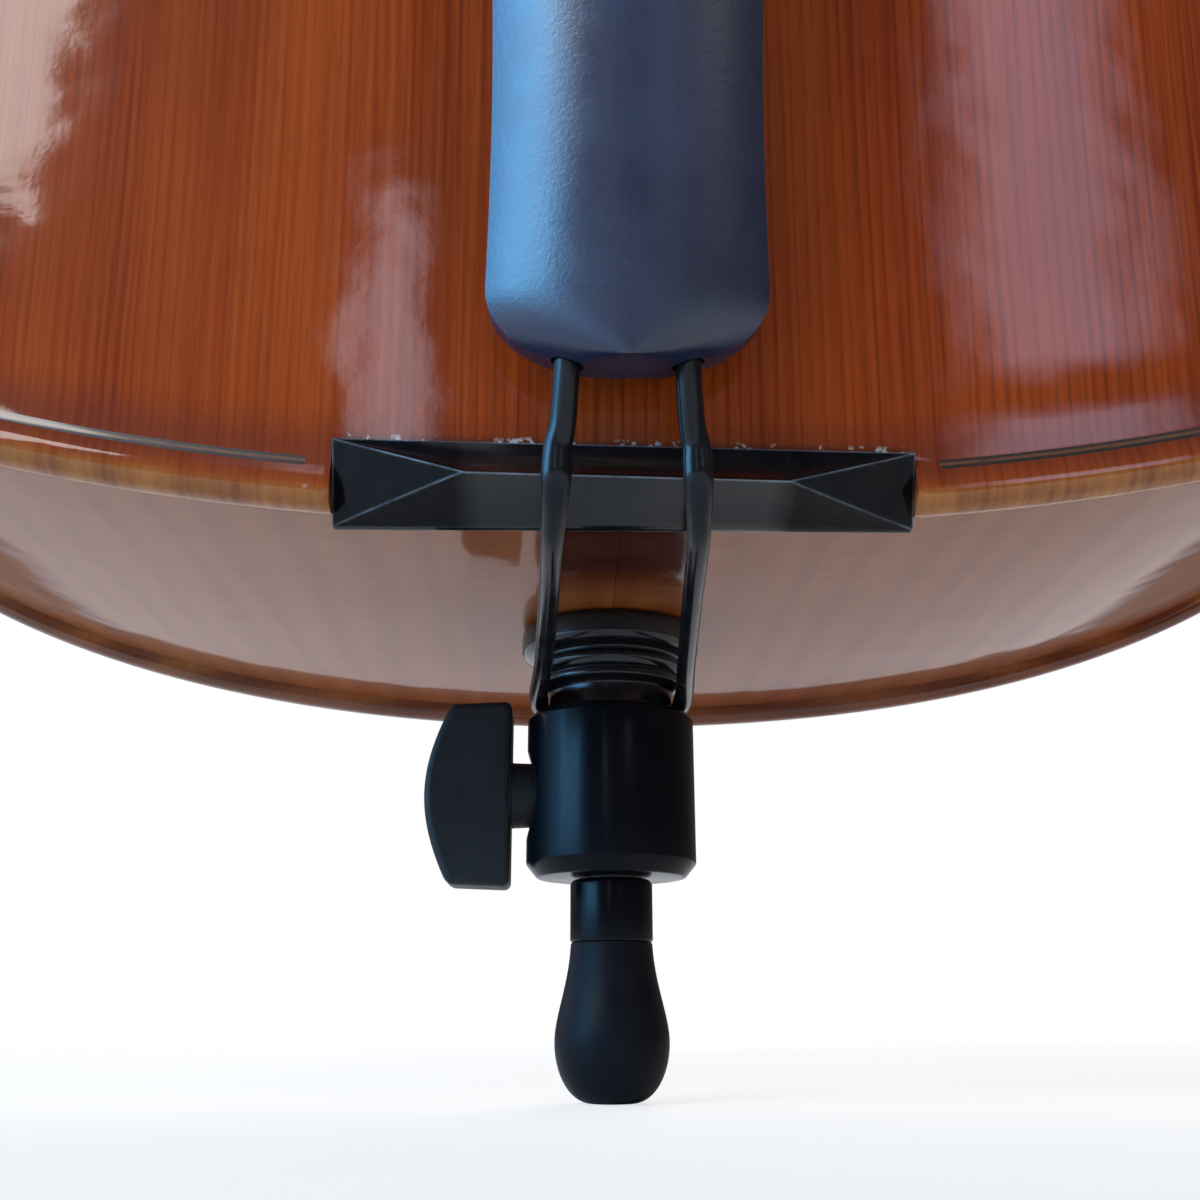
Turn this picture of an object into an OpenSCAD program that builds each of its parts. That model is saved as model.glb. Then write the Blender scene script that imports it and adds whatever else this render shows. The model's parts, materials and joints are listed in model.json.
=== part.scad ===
// Full-size cello, standing on its retracted endpin.
// Frame: +Z up along the instrument, top plate facing -Y, +X on the treble side.
// Origin: where the rubber tip of the endpin meets the floor. Millimetres.

/* [Body] */
// Length of the plates, bottom edge to top edge
body_len = 755; // [750:1:760]
// Widest part of the lower bout
lower_w = 440; // [436:1:444]
// Narrowest part of the waist
waist_w = 232; // [228:1:236]
// Widest part of the upper bout
upper_w = 342; // [338:1:346]
// Height of the ribs between the plates
rib_h = 118; // [116:1:120]
// Thickness of the plates at the edge
edge_t = 5; // [4.8:0.1:5.2]
// How far the plates stand out past the ribs
overhang = 3.5; // [3.4:0.1:3.6]
// Rise of the top plate's arching above its edge
arch_top = 20; // [19:0.5:21]
// Rise of the back plate's arching above its edge
arch_back = 21; // [20:0.5:22]
// Thickness of the bent ribs
rib_t = 2; // [1.8:0.1:2.2]

/* [Saddle and tailgut] */
// Length of the ebony saddle
saddle_len = 75; // [72:1:78]
// Length of the saddle's raised ridge
ridge_len = 40; // [36:1:44]
// Height of the ridge above the plate's edge
ridge_h = 5.5; // [5:0.1:6]
// Diameter of the tailgut cord
gut_d = 3.2; // [3:0.1:3.4]

/* [Tailpiece] */
// Length of the tailpiece
tp_len = 235; // [233:1:236]
// Width of the tailpiece at the string end
tp_top_w = 57; // [55:1:58]
// Width of the tailpiece at the saddle end
tp_end_w = 35; // [33:0.5:35]
// Wall thickness of the tailpiece
tp_wall = 4.5; // [4.3:0.1:4.7]

/* [Endpin] */
// Diameter of the collar that holds the clamp screw
collar_d = 28; // [26:0.5:28]
// Length of the collar
collar_len = 27; // [26:0.5:28]
// Diameter of the sliding rod
rod_d = 10; // [9.5:0.5:10]
// Length of the sliding rod
rod_len = 470; // [460:5:475]
// Diameter of the ferrule above the rubber tip
ferrule_d = 13.4; // [12.5:0.1:13.5]
// Greatest diameter of the rubber tip
tip_d = 18.3; // [17:0.1:18.5]

/* [Neck and head] */
// Free length of the neck, body edge to nut
neck_len = 280; // [278:1:282]
// Length of the fingerboard
board_len = 580; // [575:1:585]
// Width of the fingerboard at the nut
board_w0 = 31.5; // [31:0.5:32]
// Width of the fingerboard at its free end
board_w1 = 62.5; // [61:0.5:64]
// Radius of the fingerboard's playing surface
board_r = 64; // [62:1:68]

/* [Hidden] */

// ---- levels ----
rib_bottom = 76.5;                     // outer face of the bottom rib
body_bottom = rib_bottom - overhang;   // bottom edge of the plates
body_top = body_bottom + body_len;     // top edge of the plates
top_y = -rib_h/2;                      // gluing plane of the top plate
back_y = rib_h/2;                      // gluing plane of the back plate
top_crown = top_y - edge_t - arch_top; // crown of the top's arching
bridge_z = body_top - 400;
nut_z = body_top + neck_len;
eps = 0.01;

// ---- colours shared by several pieces ----
rib_colour = [0.42, 0.13, 0.05];
block_colour = [0.82, 0.70, 0.50];
purfling_colour = [0.1, 0.07, 0.05];
ebony = [0.03, 0.028, 0.026];
black_fitting = [0.05, 0.05, 0.055];
steel = [0.6, 0.6, 0.62];

// ---- helpers ----
// point at t on a cubic Bezier curve of four points
function bez(c, t) = c[0]*pow(1-t, 3) + 3*c[1]*pow(1-t, 2)*t + 3*c[2]*(1-t)*t*t + c[3]*t*t*t;
// n points along the curve, without its last point
function bez_pts(c, n) = [for (i = [0:n-1]) bez(c, i/n)];
function mix(a, b, t) = a + (b-a)*t;
// points first down to last, mirrored in x
function flip(v, first, last = 0) = [for (i = [first:-1:last]) [-v[i][0], v[i][1]]];
// drop of an arc of radius r below its crown at x
function sag(r, x) = r - sqrt(r*r - x*x);
// two triangles on the parallel-indexed quad with corner a and neighbours b and c
function quad(a, b, c) = [[a, b, c], [c, b, b+c-a]];
// faces of a closed shell: a grid of outer points, then the same grid of inner points
function shell_faces(rows, cols) = let(inner = rows*cols, last = (rows-1)*cols) concat(
  [for (k = [0:rows-2]) for (i = [0:cols-2]) let(a = k*cols + i)
    each concat(quad(a, a+cols, a+1), quad(inner+a, inner+a+1, inner+a+cols))],
  [for (k = [0:rows-2]) let(a = k*cols, b = a+cols-1)
    each concat(quad(a, inner+a, a+cols), quad(b, b+cols, inner+b))],
  [for (i = [0:cols-2])
    each concat(quad(i, i+1, inner+i), quad(last+i, inner+last+i, last+i+1))]);

// a 2D shape in (x, z) laid in the plane of the plates, from y0 to y0 + t
module slab(y0, t) {
  translate([0, y0+t, 0]) rotate([90, 0, 0]) linear_extrude(t) children();
}
// a round bar from p to q
module bar(p, q, r) {
  v = q - p;
  len_v = norm(v);
  translate(p) rotate([0, acos(v[2]/len_v), atan2(v[1], v[0])])
    cylinder(h = len_v, r = r, $fn = 48);
}
// a ball that rounds a bend between two bars, a touch proud of them
bend_swell = 1.04;
module ball(p, r) { translate(p) sphere(r = r*bend_swell, $fn = 48); }

// ---- plate outline: half, as Bezier curves of (x, height over the bottom edge) ----
lower_x = lower_w/2;
waist_x = waist_w/2;
upper_x = upper_w/2;
lower_bout = [[0,0], [lower_x*0.68,0], [lower_x,66], [lower_x,172]];
lower_corner = [[lower_x,172], [lower_x,235], [lower_x-57,268], [lower_x-34,300]];
lower_waist = [[lower_x-39.5,307], [lower_x-80,318], [waist_x,360], [waist_x,420]];
upper_waist = [[waist_x,420], [waist_x,470], [waist_x+6,508], [upper_x-23,519]];
upper_corner = [[upper_x-18.5,526], [upper_x-39,556], [upper_x,590], [upper_x,640]];
upper_bout = [[upper_x,640], [upper_x,705], [upper_x*0.67,body_len], [0,body_len]];
// n points on each curve
function half_outline(n) = concat(
  bez_pts(lower_bout, n), bez_pts(lower_corner, n), [lower_corner[3]],
  bez_pts(lower_waist, n), bez_pts(upper_waist, n), [upper_waist[3]],
  bez_pts(upper_corner, n), bez_pts(upper_bout, n), [[0, body_len]]);
module outline() {
  pts = half_outline(10);
  translate([0, body_bottom]) polygon(concat(pts, flip(pts, len(pts)-2, 1)));
}
module inset(d) { offset(delta = -d) outline(); }

// ---- arching ----
arch_edge = 12;                        // flat margin outside the arching
// (height, half width) that the arching follows, with no corners
arch_width = [for (p = concat(
  bez_pts(lower_bout, 8),
  bez_pts([lower_bout[3], [lower_x,262], [waist_x,318], [waist_x,420]], 8),
  bez_pts([[waist_x,420], [waist_x,505], [upper_x,560], [upper_x,640]], 8),
  bez_pts(upper_bout, 8), [[0, body_len]])) [p[1], p[0]]];
function cross_arch(u) = u >= 1 ? 0 : 0.5 + 0.5*cos(180*pow(u, 1.3));
function long_arch(q) = q <= 0 ? 0 : q >= 1 ? 1 : pow(0.5 - 0.5*cos(180*q), 0.75);
// share of the full rise at x and height s over the bottom edge
function dome(x, s) = let(w = lookup(s, arch_width) - arch_edge) w < 4 ? 0
  : cross_arch(abs(x)/w)*long_arch((s - arch_edge)/215)*long_arch((body_len - arch_edge - s)/190);
// inner surface of the top plate
function under_top(x, s) = top_y - arch_top*dome(x, s);
// places of the surface points across a half width
across = [-1,-.94,-.86,-.76,-.63,-.48,-.32,-.16,0,.16,.32,.48,.63,.76,.86,.94,1];
function plate_pts(stations, dir, rise, thick) = [for (p = stations) for (u = across)
  [p[0]*u, dir*(rib_h/2 + thick + rise*dome(p[0]*u, p[1])), body_bottom + p[1]]];
// dir -1 arches to -Y, +1 to +Y
module plate(dir, rise) {
  // rows close to the ends keep the edge full width there
  stations = concat([for (t = [0.03, 0.08]) bez(lower_bout, t)],
                    [for (p = half_outline(7)) if (p[0] > 12) p],
                    [for (t = [0.92, 0.96]) bez(upper_bout, t)]);
  faces = shell_faces(len(stations), len(across));
  polyhedron(points = concat(plate_pts(stations, dir, rise, edge_t),
                             plate_pts(stations, dir, rise, 0)),
             faces = dir < 0 ? faces : [for (f = faces) [f[0], f[2], f[1]]],
             convexity = 10);
}

// ---- sound holes: centre line of the slot, (x, height over the bottom edge) ----
upper_eye = [55, 412.5];
lower_eye = [97.5, 303];
slot_path = concat(bez_pts([[50,414], [50.5,430], [66,436], [70.5,415]], 6),
                   bez_pts([[70.5,415], [75,392], [75.5,330], [81,304]], 10),
                   bez_pts([[81,304], [85.5,283], [101.5,287], [102,303]], 6), [[102,303]]);
slot_last = len(slot_path) - 1;
function slot_half_w(i) = 1.6 + 3.6*pow(sin(180*i/slot_last), 1.6);
function slot_normal(i) =
  let(d = slot_path[min(slot_last, i+1)] - slot_path[max(0, i-1)]) [-d[1], d[0]]/norm(d);
function slot_side(i, side) = slot_path[i] + side*slot_normal(i)*slot_half_w(i);
module f_hole(side) {
  translate([0, body_bottom]) scale([side, 1])
    polygon(concat([for (i = [0:slot_last]) slot_side(i, 1)],
                   [for (i = [slot_last:-1:0]) slot_side(i, -1)]));
  translate([side*upper_eye[0], body_bottom + upper_eye[1]]) circle(r = 6.2, $fn = 40);
  translate([side*lower_eye[0], body_bottom + lower_eye[1]]) circle(r = 8.2, $fn = 40);
}

// ---- neck and head frames ----
slope = 0.165;                         // shift of the fingerboard line to +Y per mm of height
board_tilt = atan(slope);
board_t = 12.5;                        // fingerboard thickness at its crown
function board_y(z) = -165 + slope*(z - bridge_z);           // crown of the fingerboard
function glue_y(z) = board_y(z) + board_t/cos(board_tilt);   // its underside
head_tilt = 22;
// both frames start at the nut on the glue line; +y to the back, +z to the scroll
module neck_frame() { translate([0, glue_y(nut_z), nut_z]) rotate([-board_tilt, 0, 0]) children(); }
module head_frame() { translate([0, glue_y(nut_z), nut_z]) rotate([-head_tilt, 0, 0]) children(); }
function head_pt(x, y, z) = [x, glue_y(nut_z) + y*cos(head_tilt) + z*sin(head_tilt),
                             nut_z - y*sin(head_tilt) + z*cos(head_tilt)];

// ---- strings, in the order C G D A ----
string_names = ["c", "g", "d", "a"];
string_r = [0.9, 0.72, 0.55, 0.42];
bridge_x = [-24, -8, 8, 24];
nut_x = [-11.2, -3.8, 3.8, 11.2];
tuner_x = [-20, -6.8, 6.8, 20];
bridge_crown = -174;
bridge_r = 62;                         // radius of the bridge's top edge
function bridge_y(x) = bridge_crown + sag(bridge_r, x);
function nut_pt(i) =
  [nut_x[i], board_y(nut_z) + sag(board_r, nut_x[i]) - 0.9 - string_r[i], nut_z + 1.5];
function bridge_pt(i) = [bridge_x[i], bridge_y(bridge_x[i]) - string_r[i] + 0.5, bridge_z];

// ---- tailpiece frame: -y out of the playing side, +z from the saddle end to the bridge ----
pull_y = -71;                          // line of pull where it crosses the saddle
pull_z = rib_bottom + 1;
pull_a = atan((bridge_y(8) - pull_y)/(pull_z - bridge_z));   // lean of the line of pull
end_gap = 11;                          // saddle ridge to tailpiece end
tail_a = pull_a - atan(17.5/tp_len);   // lean of the tailpiece's underside
tail_origin = [0, pull_y - end_gap*sin(pull_a), pull_z + end_gap*cos(pull_a)]
              + 4*[0, cos(pull_a), sin(pull_a)];
module tail_frame() { translate(tail_origin) rotate([tail_a, 0, 0]) children(); }
// point at x, height up over the underside and z along the tailpiece
function tail_pt(x, up, z) = [x, tail_origin[1] - up*cos(tail_a) - z*sin(tail_a),
                              tail_origin[2] - up*sin(tail_a) + z*cos(tail_a)];

axle_z = 222;
axle_up = 6;
axle_hole_r = 1.25;
screw_z = 203;
// string height over the underside at its lever
function lever_up(i) = 21.5 - tuner_x[i]*tuner_x[i]/120;
function lever_pt(i) = tail_pt(tuner_x[i], lever_up(i), axle_z);
function pull_dir(i) = let(v = bridge_pt(i) - lever_pt(i)) v/norm(v);

// ======================= body =======================
saddle_up = 6.3;                       // saddle's inner edge above the rib's outer face
heel_z = body_top - 16;                // bottom of the neck root's mortise
heel_top = body_top + 77;
heel_x = 22;                           // half width of the neck root at the front
heel_back_x = 14.5;                    // half width at the back
foot_depth = 21.5;                     // depth of the neck where it meets the root
purfling_in = 5.4;                     // plate edge to inlay
purfling_w = 1.3;
purfling_depth = 1;

module saddle_slot(c) {
  translate([-saddle_len/2 - c, top_y - 30, body_bottom - 20])
    cube([saddle_len + 2*c, 30 + eps, 20 + overhang + saddle_up + c]);
}
// the neck root, which is also the shape of its mortise
module heel(grow = 0) {
  side = concat([[glue_y(heel_z), heel_z], [glue_y(heel_top), heel_top]],
    [for (i = [0:8]) bez([[glue_y(heel_top) + foot_depth, heel_top],
                          [glue_y(heel_top) + 23, body_top + 44],
                          [-26, body_top + 19], [back_y, body_top + 10]], i/8)],
    [[back_y, heel_z]]);
  front_x = heel_x + grow;
  back_x = heel_back_x + grow;
  intersection() {
    rotate([90, 0, 90]) translate([0, 0, -30]) linear_extrude(60)
      polygon([for (p = side) [p[0] + (p[0] > back_y - 1 ? 0 : -grow), p[1]]]);
    translate([0, 0, body_top - 28]) linear_extrude(120)
      polygon([[-front_x, -100], [front_x, -100], [front_x, -60],
               [back_x, back_y + eps], [-back_x, back_y + eps], [-front_x, -60]]);
  }
}

// inlaid strip near the plates' edges
module purfling2(c = 0) {
  difference() {
    inset(purfling_in - c);
    inset(purfling_in + purfling_w + c);
  }
}
// the top's inlay stops short of the saddle and the neck
module top_purfling2(c = 0) {
  difference() {
    purfling2(c);
    translate([-saddle_len/2 - 3 + c, 0]) square([saddle_len + 6 - 2*c, body_bottom + 40]);
    translate([-26 + c, body_top - 40]) square([52 - 2*c, 60]);
  }
}
module purfling_top() color(purfling_colour) slab(top_y - edge_t, purfling_depth) top_purfling2();
module purfling_back() color(purfling_colour)
  slab(back_y + edge_t - purfling_depth, purfling_depth) purfling2();

module top_plate() color([0.55, 0.22, 0.07]) difference() {
  plate(-1, arch_top);
  slab(top_y - 60, 61) {
    f_hole(1);
    f_hole(-1);
  }
  saddle_slot(0.15);
  // mortise for the neck root
  translate([-heel_x - 0.1, top_y - 40, heel_z]) cube([2*heel_x + 0.2, 45, 40]);
  // channel for the inlay
  slab(top_y - edge_t - 1, purfling_depth + 1.02) top_purfling2(0.02);
}
module back_plate() color([0.45, 0.16, 0.05]) difference() {
  union() {
    plate(1, arch_back);
    // button behind the neck root
    slab(back_y, edge_t) translate([0, body_top - 3]) circle(r = 16, $fn = 64);
  }
  slab(back_y + edge_t - purfling_depth - 0.02, 2) purfling2(0.02);
}

lower_joint = body_bottom + 303.4;     // rib joints at the corners
upper_joint = body_bottom + 522.4;
module rib_span(z, h) {
  intersection() {
    slab(top_y, rib_h) difference() {
      inset(overhang);
      inset(overhang + rib_t);
    }
    translate([-300, -100, z]) cube([600, 200, h]);
  }
}
module lower_ribs() color(rib_colour) difference() {
  rib_span(0, lower_joint);
  // hole for the endpin plug
  translate([0, 0, rib_bottom - 5]) cylinder(r = 11.7, h = 12, $fn = 64);
  // the two ribs meet at the bottom centre
  translate([-0.03, -100, rib_bottom - 5]) cube([0.06, 200, 20]);
}
module centre_ribs() color(rib_colour) rib_span(lower_joint, upper_joint - lower_joint);
module upper_ribs() color(rib_colour) difference() {
  rib_span(upper_joint, 400);
  heel(0.05);
}

// plan shapes of the blocks, before they are trimmed to the inside of the ribs
module lower_block2() { translate([-55, rib_bottom - 5]) square([110, 5 + rib_t + 24]); }
module upper_block2() { translate([-62, body_top - overhang - rib_t - 34]) square([124, 60]); }
module corner_blocks2() {
  for (m = [-1, 1]) scale([m, 1]) translate([0, body_bottom]) {
    polygon([[lower_x-75,262], [lower_x-12,262], [lower_x-20,330], [lower_x-86,336],
             [lower_x-74,300]]);
    polygon([[upper_x-62,492], [upper_x-2,500], [upper_x-2,566], [upper_x-52,560],
             [upper_x-56,526]]);
  }
}
module block() {
  slab(top_y, rib_h) intersection() {
    inset(overhang + rib_t);
    children();
  }
}
lining_h = 9;
lining_t = 2.6;
module lining_strip(y0) {
  slab(y0, lining_h) difference() {
    inset(overhang + rib_t);
    inset(overhang + rib_t + lining_t);
    lower_block2();
    upper_block2();
    corner_blocks2();
  }
}
module linings() color([0.80, 0.66, 0.45]) {
  lining_strip(top_y);
  lining_strip(back_y - lining_h);
}
module corner_blocks() color(block_colour) block() corner_blocks2();
module upper_block() color(block_colour) difference() {
  block() upper_block2();
  heel(0.05);
}
// taper of the endpin plug inside the lower block
plug_r0 = 11.6;
plug_r1 = 10.2;
plug_taper_len = 44;
module lower_block() color(block_colour) difference() {
  block() lower_block2();
  translate([0, 0, rib_bottom - 1])
    cylinder(r1 = plug_r0 + 0.02, r2 = plug_r1 + 0.02, h = plug_taper_len, $fn = 64);
}

// the bar and the post start inside the plates and are trimmed to them
fit = 2.5;
module bass_bar_blank() {
  n = 14;
  pts = [for (k = [0:n])
    let(s = mix(88, 660, k/n), x = -24 + 6*(k/n - 0.5),
        z = body_bottom + s, y = under_top(x, s) + 3 + 20*pow(sin(180*k/n), 0.8))
    each [[x-5.5, under_top(x-5.5, s) - fit, z], [x+5.5, under_top(x+5.5, s) - fit, z],
          [x+4, y, z], [x-4, y, z]]];
  faces = concat([[0, 1, 2, 3]],
    [for (k = [0:n-1]) for (j = [0:3]) each quad(k*4+j, (k+1)*4+j, k*4+(j+1)%4)],
    [[n*4+3, n*4+2, n*4+1, n*4]]);
  polyhedron(points = pts, faces = faces, convexity = 4);
}
module bass_bar() color([0.85, 0.74, 0.55]) difference() {
  bass_bar_blank();
  plate(-1, arch_top);
}
post_x = 30;
post_up = 342;                         // height over the bottom edge
module sound_post() color([0.88, 0.78, 0.6]) difference() {
  translate([post_x, under_top(post_x, post_up) - fit, body_bottom + post_up])
    rotate([-90, 0, 0])
      cylinder(r = 5.5, h = rib_h + (arch_top + arch_back)*dome(post_x, post_up) + 2*fit,
               $fn = 48);
  plate(-1, arch_top);
  plate(1, arch_back);
}

// ======================= saddle and tailgut =======================
ridge_y = top_y - edge_t - ridge_h;
ridge_z = rib_bottom - 0.2;
module saddle() color([0.03, 0.03, 0.04]) hull() {
  end_x = saddle_len/2;
  ridge_x = ridge_len/2;
  low_z = body_bottom;
  high_z = rib_bottom + saddle_up;
  low_y = top_y - 1.2;
  high_y = top_y - edge_t - 0.2;
  polyhedron(
    points = [[-end_x,top_y,low_z], [end_x,top_y,low_z], [end_x,top_y,high_z],
              [-end_x,top_y,high_z], [-end_x,low_y,low_z], [end_x,low_y,low_z],
              [end_x,high_y,high_z], [-end_x,high_y,high_z],
              [-ridge_x,ridge_y,ridge_z], [ridge_x,ridge_y,ridge_z]],
    faces = [[0,1,2,3], [4,9,5], [4,8,9], [7,6,9], [7,9,8], [4,7,8], [5,9,6],
             [0,4,5,1], [3,2,6,7], [0,3,7,4], [1,5,6,2]]);
}

gut_r = gut_d/2;
gut_x = 7.4;                           // gut holes in the tailpiece
gut_up = 4;
groove_r = 10.4;                       // gut groove of the endpin plug
groove_z = rib_bottom - 12.8;
loop_r = groove_r + gut_r*bend_swell + 0.03;
// one side of the gut: tailpiece, over the ridge, round the edge, to the groove
gut_path = [tail_pt(gut_x, gut_up, 24), tail_pt(gut_x, gut_up, 0),
            [8.65, ridge_y - gut_r - 0.42, ridge_z - 0.2],
            [9.4, top_y - 5.5, body_bottom - 4],
            [loop_r, 0, groove_z]];
module strand() {
  for (i = [1:len(gut_path)-1]) {
    bar(gut_path[i-1], gut_path[i], gut_r);
    ball(gut_path[i], gut_r);
  }
}
module tailgut() color([0.02, 0.02, 0.03]) {
  strand();
  mirror([1, 0, 0]) strand();
  // half loop behind the plug
  translate([0, 0, groove_z]) rotate_extrude(angle = 180, $fn = 72)
    translate([loop_r, 0]) circle(r = gut_r, $fn = 32);
}
module tailgut_nuts() color([0.8, 0.6, 0.2]) tail_frame()
  for (m = [-1, 1]) translate([m*gut_x, -gut_up, 16.2]) difference() {
    cylinder(r = 3.4, h = 6, $fn = 6);
    translate([0, 0, -1]) cylinder(r = gut_r + 0.02, h = 9, $fn = 40);
  }

// ======================= tailpiece and tuners =======================
round_len = 10;                        // rounded saddle end
function tail_crown(z) = mix(11.5, 20, z/tp_len);
function tail_edge(z) = mix(4.6, 10, z/tp_len);
function tail_half_w(z) = z < round_len
  ? (tp_end_w/2)*(0.1 + 0.9*pow(max(0, 1 - pow(1 - z/round_len, 2.2)), 0.5))
  : mix(tp_end_w/2, tp_top_w/2, pow((z - round_len)/(tp_len - round_len), 1.35))
    - 1.6*sin(180*min(1, (z - round_len)/90));
// height of the playing side over the underside
function tail_up(x, z) = tail_edge(z)
  + (tail_crown(z) - tail_edge(z))*(1 - pow(min(1, abs(x)/tail_half_w(z)), 2.2));
tail_stations = [0, 0.4, 1.1, 2.2, 3.8, 6, 10, 15, 22, 35, 55, 80, 110, 140, 170, 200, 220, tp_len];

// the tailpiece's form from station z0 to z1, lowered by drop and narrowed by side;
// its underside stands at y = under
module tail_form(z0, z1, drop = 0, side = 0, under = 0) {
  stations = [for (z = tail_stations) if (z >= z0 && z <= z1) z];
  upper = [for (z = stations) for (u = across) let(x = u*(tail_half_w(z) - side))
           [x, -max(0.4, tail_up(x, z) - drop), z]];
  lower = [for (z = stations) for (u = across) [u*(tail_half_w(z) - side), under, z]];
  polyhedron(points = concat(upper, lower),
             faces = shell_faces(len(stations), len(across)), convexity = 6);
}
module tailpiece() color([0.03, 0.03, 0.035]) tail_frame() difference() {
  tail_form(0, tp_len);
  // hollow underside
  tail_form(35, 220, drop = tp_wall, side = 3.5, under = 5);
  // pocket for the gut nuts, and the two gut holes
  translate([-11.4, -7.6, 15.9]) cube([22.8, 9, 8.6]);
  for (m = [-1, 1]) translate([m*gut_x, -gut_up, -3])
    cylinder(r = gut_r + 0.5, h = 22, $fn = 40);
  // slots for the levers and holes for the tuning screws
  for (x = tuner_x) {
    translate([x - 3, -26, axle_z - 10]) cube([6, 26.5, 17]);
    translate([x, 0, screw_z]) rotate([90, 0, 0]) cylinder(r = 1.61, h = 30, $fn = 40);
    translate([x - 3.4, -9.4, 196]) cube([6.8, 9.9, 26]);
  }
  translate([-40, -axle_up, axle_z]) rotate([0, 90, 0])
    cylinder(r = axle_hole_r, h = 80, $fn = 40);
}
module tuner_axle() color(steel) tail_frame()
  translate([-27, -axle_up, axle_z]) rotate([0, 90, 0]) cylinder(r = 1.2, h = 54, $fn = 40);

// the pull arm stands up through the slot, the push arm lies under the screw
lever_w = 5;
module tuner_lever(i) color(black_fitting) tail_frame()
  translate([tuner_x[i], 0, axle_z]) difference() {
    union() {
      translate([-lever_w/2, -axle_up, 0]) rotate([0, 90, 0])
        cylinder(r = 3, h = lever_w, $fn = 40);
      translate([-lever_w/2, -lever_up(i) - 2.6, -2])
        cube([lever_w, lever_up(i) + 2.6 - axle_up, 3.6]);
      translate([-lever_w/2, -7.4, -20]) cube([lever_w, 2.6, 20]);
    }
    translate([-5, -axle_up, 0]) rotate([0, 90, 0]) cylinder(r = axle_hole_r, h = 10, $fn = 40);
    // string notch
    translate([-string_r[i] - 0.25, -lever_up(i) - 4, -4])
      cube([2*string_r[i] + 0.5, 4 + string_r[i] + 0.3, 8]);
  }

screw_r = 1.55;
screw_grip = 3.6;                      // screw end above the knob's base
// height of the tailpiece's surface under the highest side of a knob
function knob_base(i) = tail_up(abs(tuner_x[i]) - 4.6, screw_z) + 0.3;
// +z along the screw, out of the playing side
module screw_frame(i) {
  tail_frame() translate([tuner_x[i], 0, screw_z]) rotate([90, 0, 0]) children();
}
module tuner_screw(i) color([0.62, 0.62, 0.65]) screw_frame(i) {
  translate([0, 0, 8.6]) cylinder(r = screw_r, h = knob_base(i) + screw_grip - 8.6, $fn = 40);
  translate([0, 0, 7.5]) cylinder(r1 = 0.5, r2 = screw_r, h = 1.1, $fn = 40);
}
module tuner_knob(i) color(black_fitting) screw_frame(i)
  translate([0, 0, knob_base(i)]) difference() {
    union() {
      translate([0, 0, 3.6]) cylinder(r = 4.4, h = 5.4, $fn = 40);
      translate([0, 0, 9]) cylinder(r1 = 4.4, r2 = 3.6, h = 0.9, $fn = 40);
      translate([0, 0, 3]) cylinder(r1 = 3.4, r2 = 4.4, h = 0.6, $fn = 40);
    }
    cylinder(r = screw_r, h = screw_grip, $fn = 40);
    // grooves round the grip
    for (a = [0:20:340]) rotate(a) translate([4.55, 0, 2]) cylinder(r = 0.45, h = 12, $fn = 16);
  }

// ======================= strings =======================
// ball behind the notch of the lever, with the first few millimetres of string
module string_end(i) color([0.75, 0.6, 0.3]) {
  start = lever_pt(i);
  dir = pull_dir(i);
  translate(start - dir*4.25) sphere(r = 2.2, $fn = 48);
  bar(start - dir*4, start + dir*3.4, string_r[i]);
}
// lever to bridge, nut and winding; c widens it to cut clearance grooves
module string_run(i, c = 0) {
  r = string_r[i] + c;
  bar(lever_pt(i) + pull_dir(i)*6.6, bridge_pt(i), r);
  ball(bridge_pt(i), r);
  bar(bridge_pt(i), nut_pt(i), r);
  ball(nut_pt(i), r);
  bar(nut_pt(i), coil_pt(i), r);
}
module string(i) color([0.7, 0.7, 0.72]) string_run(i);

// ======================= bridge =======================
bridge_h = top_crown - bridge_crown;
// outline as (x, height over the crown of the top plate's arching)
module bridge2() {
  outer = concat(
    bez_pts([[46,-7.3], [46,4], [38,6], [36,12]], 4),
    bez_pts([[36,12], [32,24], [35,36], [37,42]], 4),
    bez_pts([[37,42], [43,42], [44,52], [38,53]], 4),
    bez_pts([[38,53], [31,53], [28,58], [31,66]], 4),
    [for (i = [0:6]) let(x = 31*(1 - i/6)) [x, bridge_h - sag(bridge_r, x)]]);
  // opening between the feet
  arch = concat(bez_pts([[0,40], [9,40], [13,36], [15,27]], 5),
                bez_pts([[15,27], [17,16], [25,10], [26,-3.8]], 5), [[26,-3.8]]);
  difference() {
    polygon(concat(outer, flip(outer, len(outer)-2), flip(arch, len(arch)-1),
                   [for (i = [1:len(arch)-1]) arch[i]]));
    // heart
    translate([0, 63]) circle(r = 4.6, $fn = 32);
    polygon([[-3.6,60.4], [0,50], [3.6,60.4], [0,66]]);
    // kidneys
    for (m = [-1, 1]) scale([m, 1])
      polygon(concat(bez_pts([[20,53], [20,61], [28,66], [27,57]], 6),
                     bez_pts([[27,57], [28,48], [20,45], [20,53]], 6)));
  }
}
bridge_foot = 5.5;                     // half thickness at the feet
bridge_edge = 1.5;                     // half thickness at the strings
module bridge() color([0.80, 0.62, 0.36]) difference() {
  intersection() {
    translate([0, top_crown, bridge_z - bridge_foot]) mirror([0, 1, 0])
      linear_extrude(2*bridge_foot) bridge2();
    // taper from the feet to the strings
    rotate([90, 0, 90]) translate([0, 0, -60]) linear_extrude(120)
      polygon([[-60, bridge_z-bridge_foot], [top_crown, bridge_z-bridge_foot],
               [bridge_crown-2, bridge_z-bridge_edge], [bridge_crown-2, bridge_z+bridge_edge],
               [top_crown, bridge_z+bridge_foot], [-60, bridge_z+bridge_foot]]);
  }
  plate(-1, arch_top);
  for (i = [0:3]) string_run(i, 0.02);
}

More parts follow.
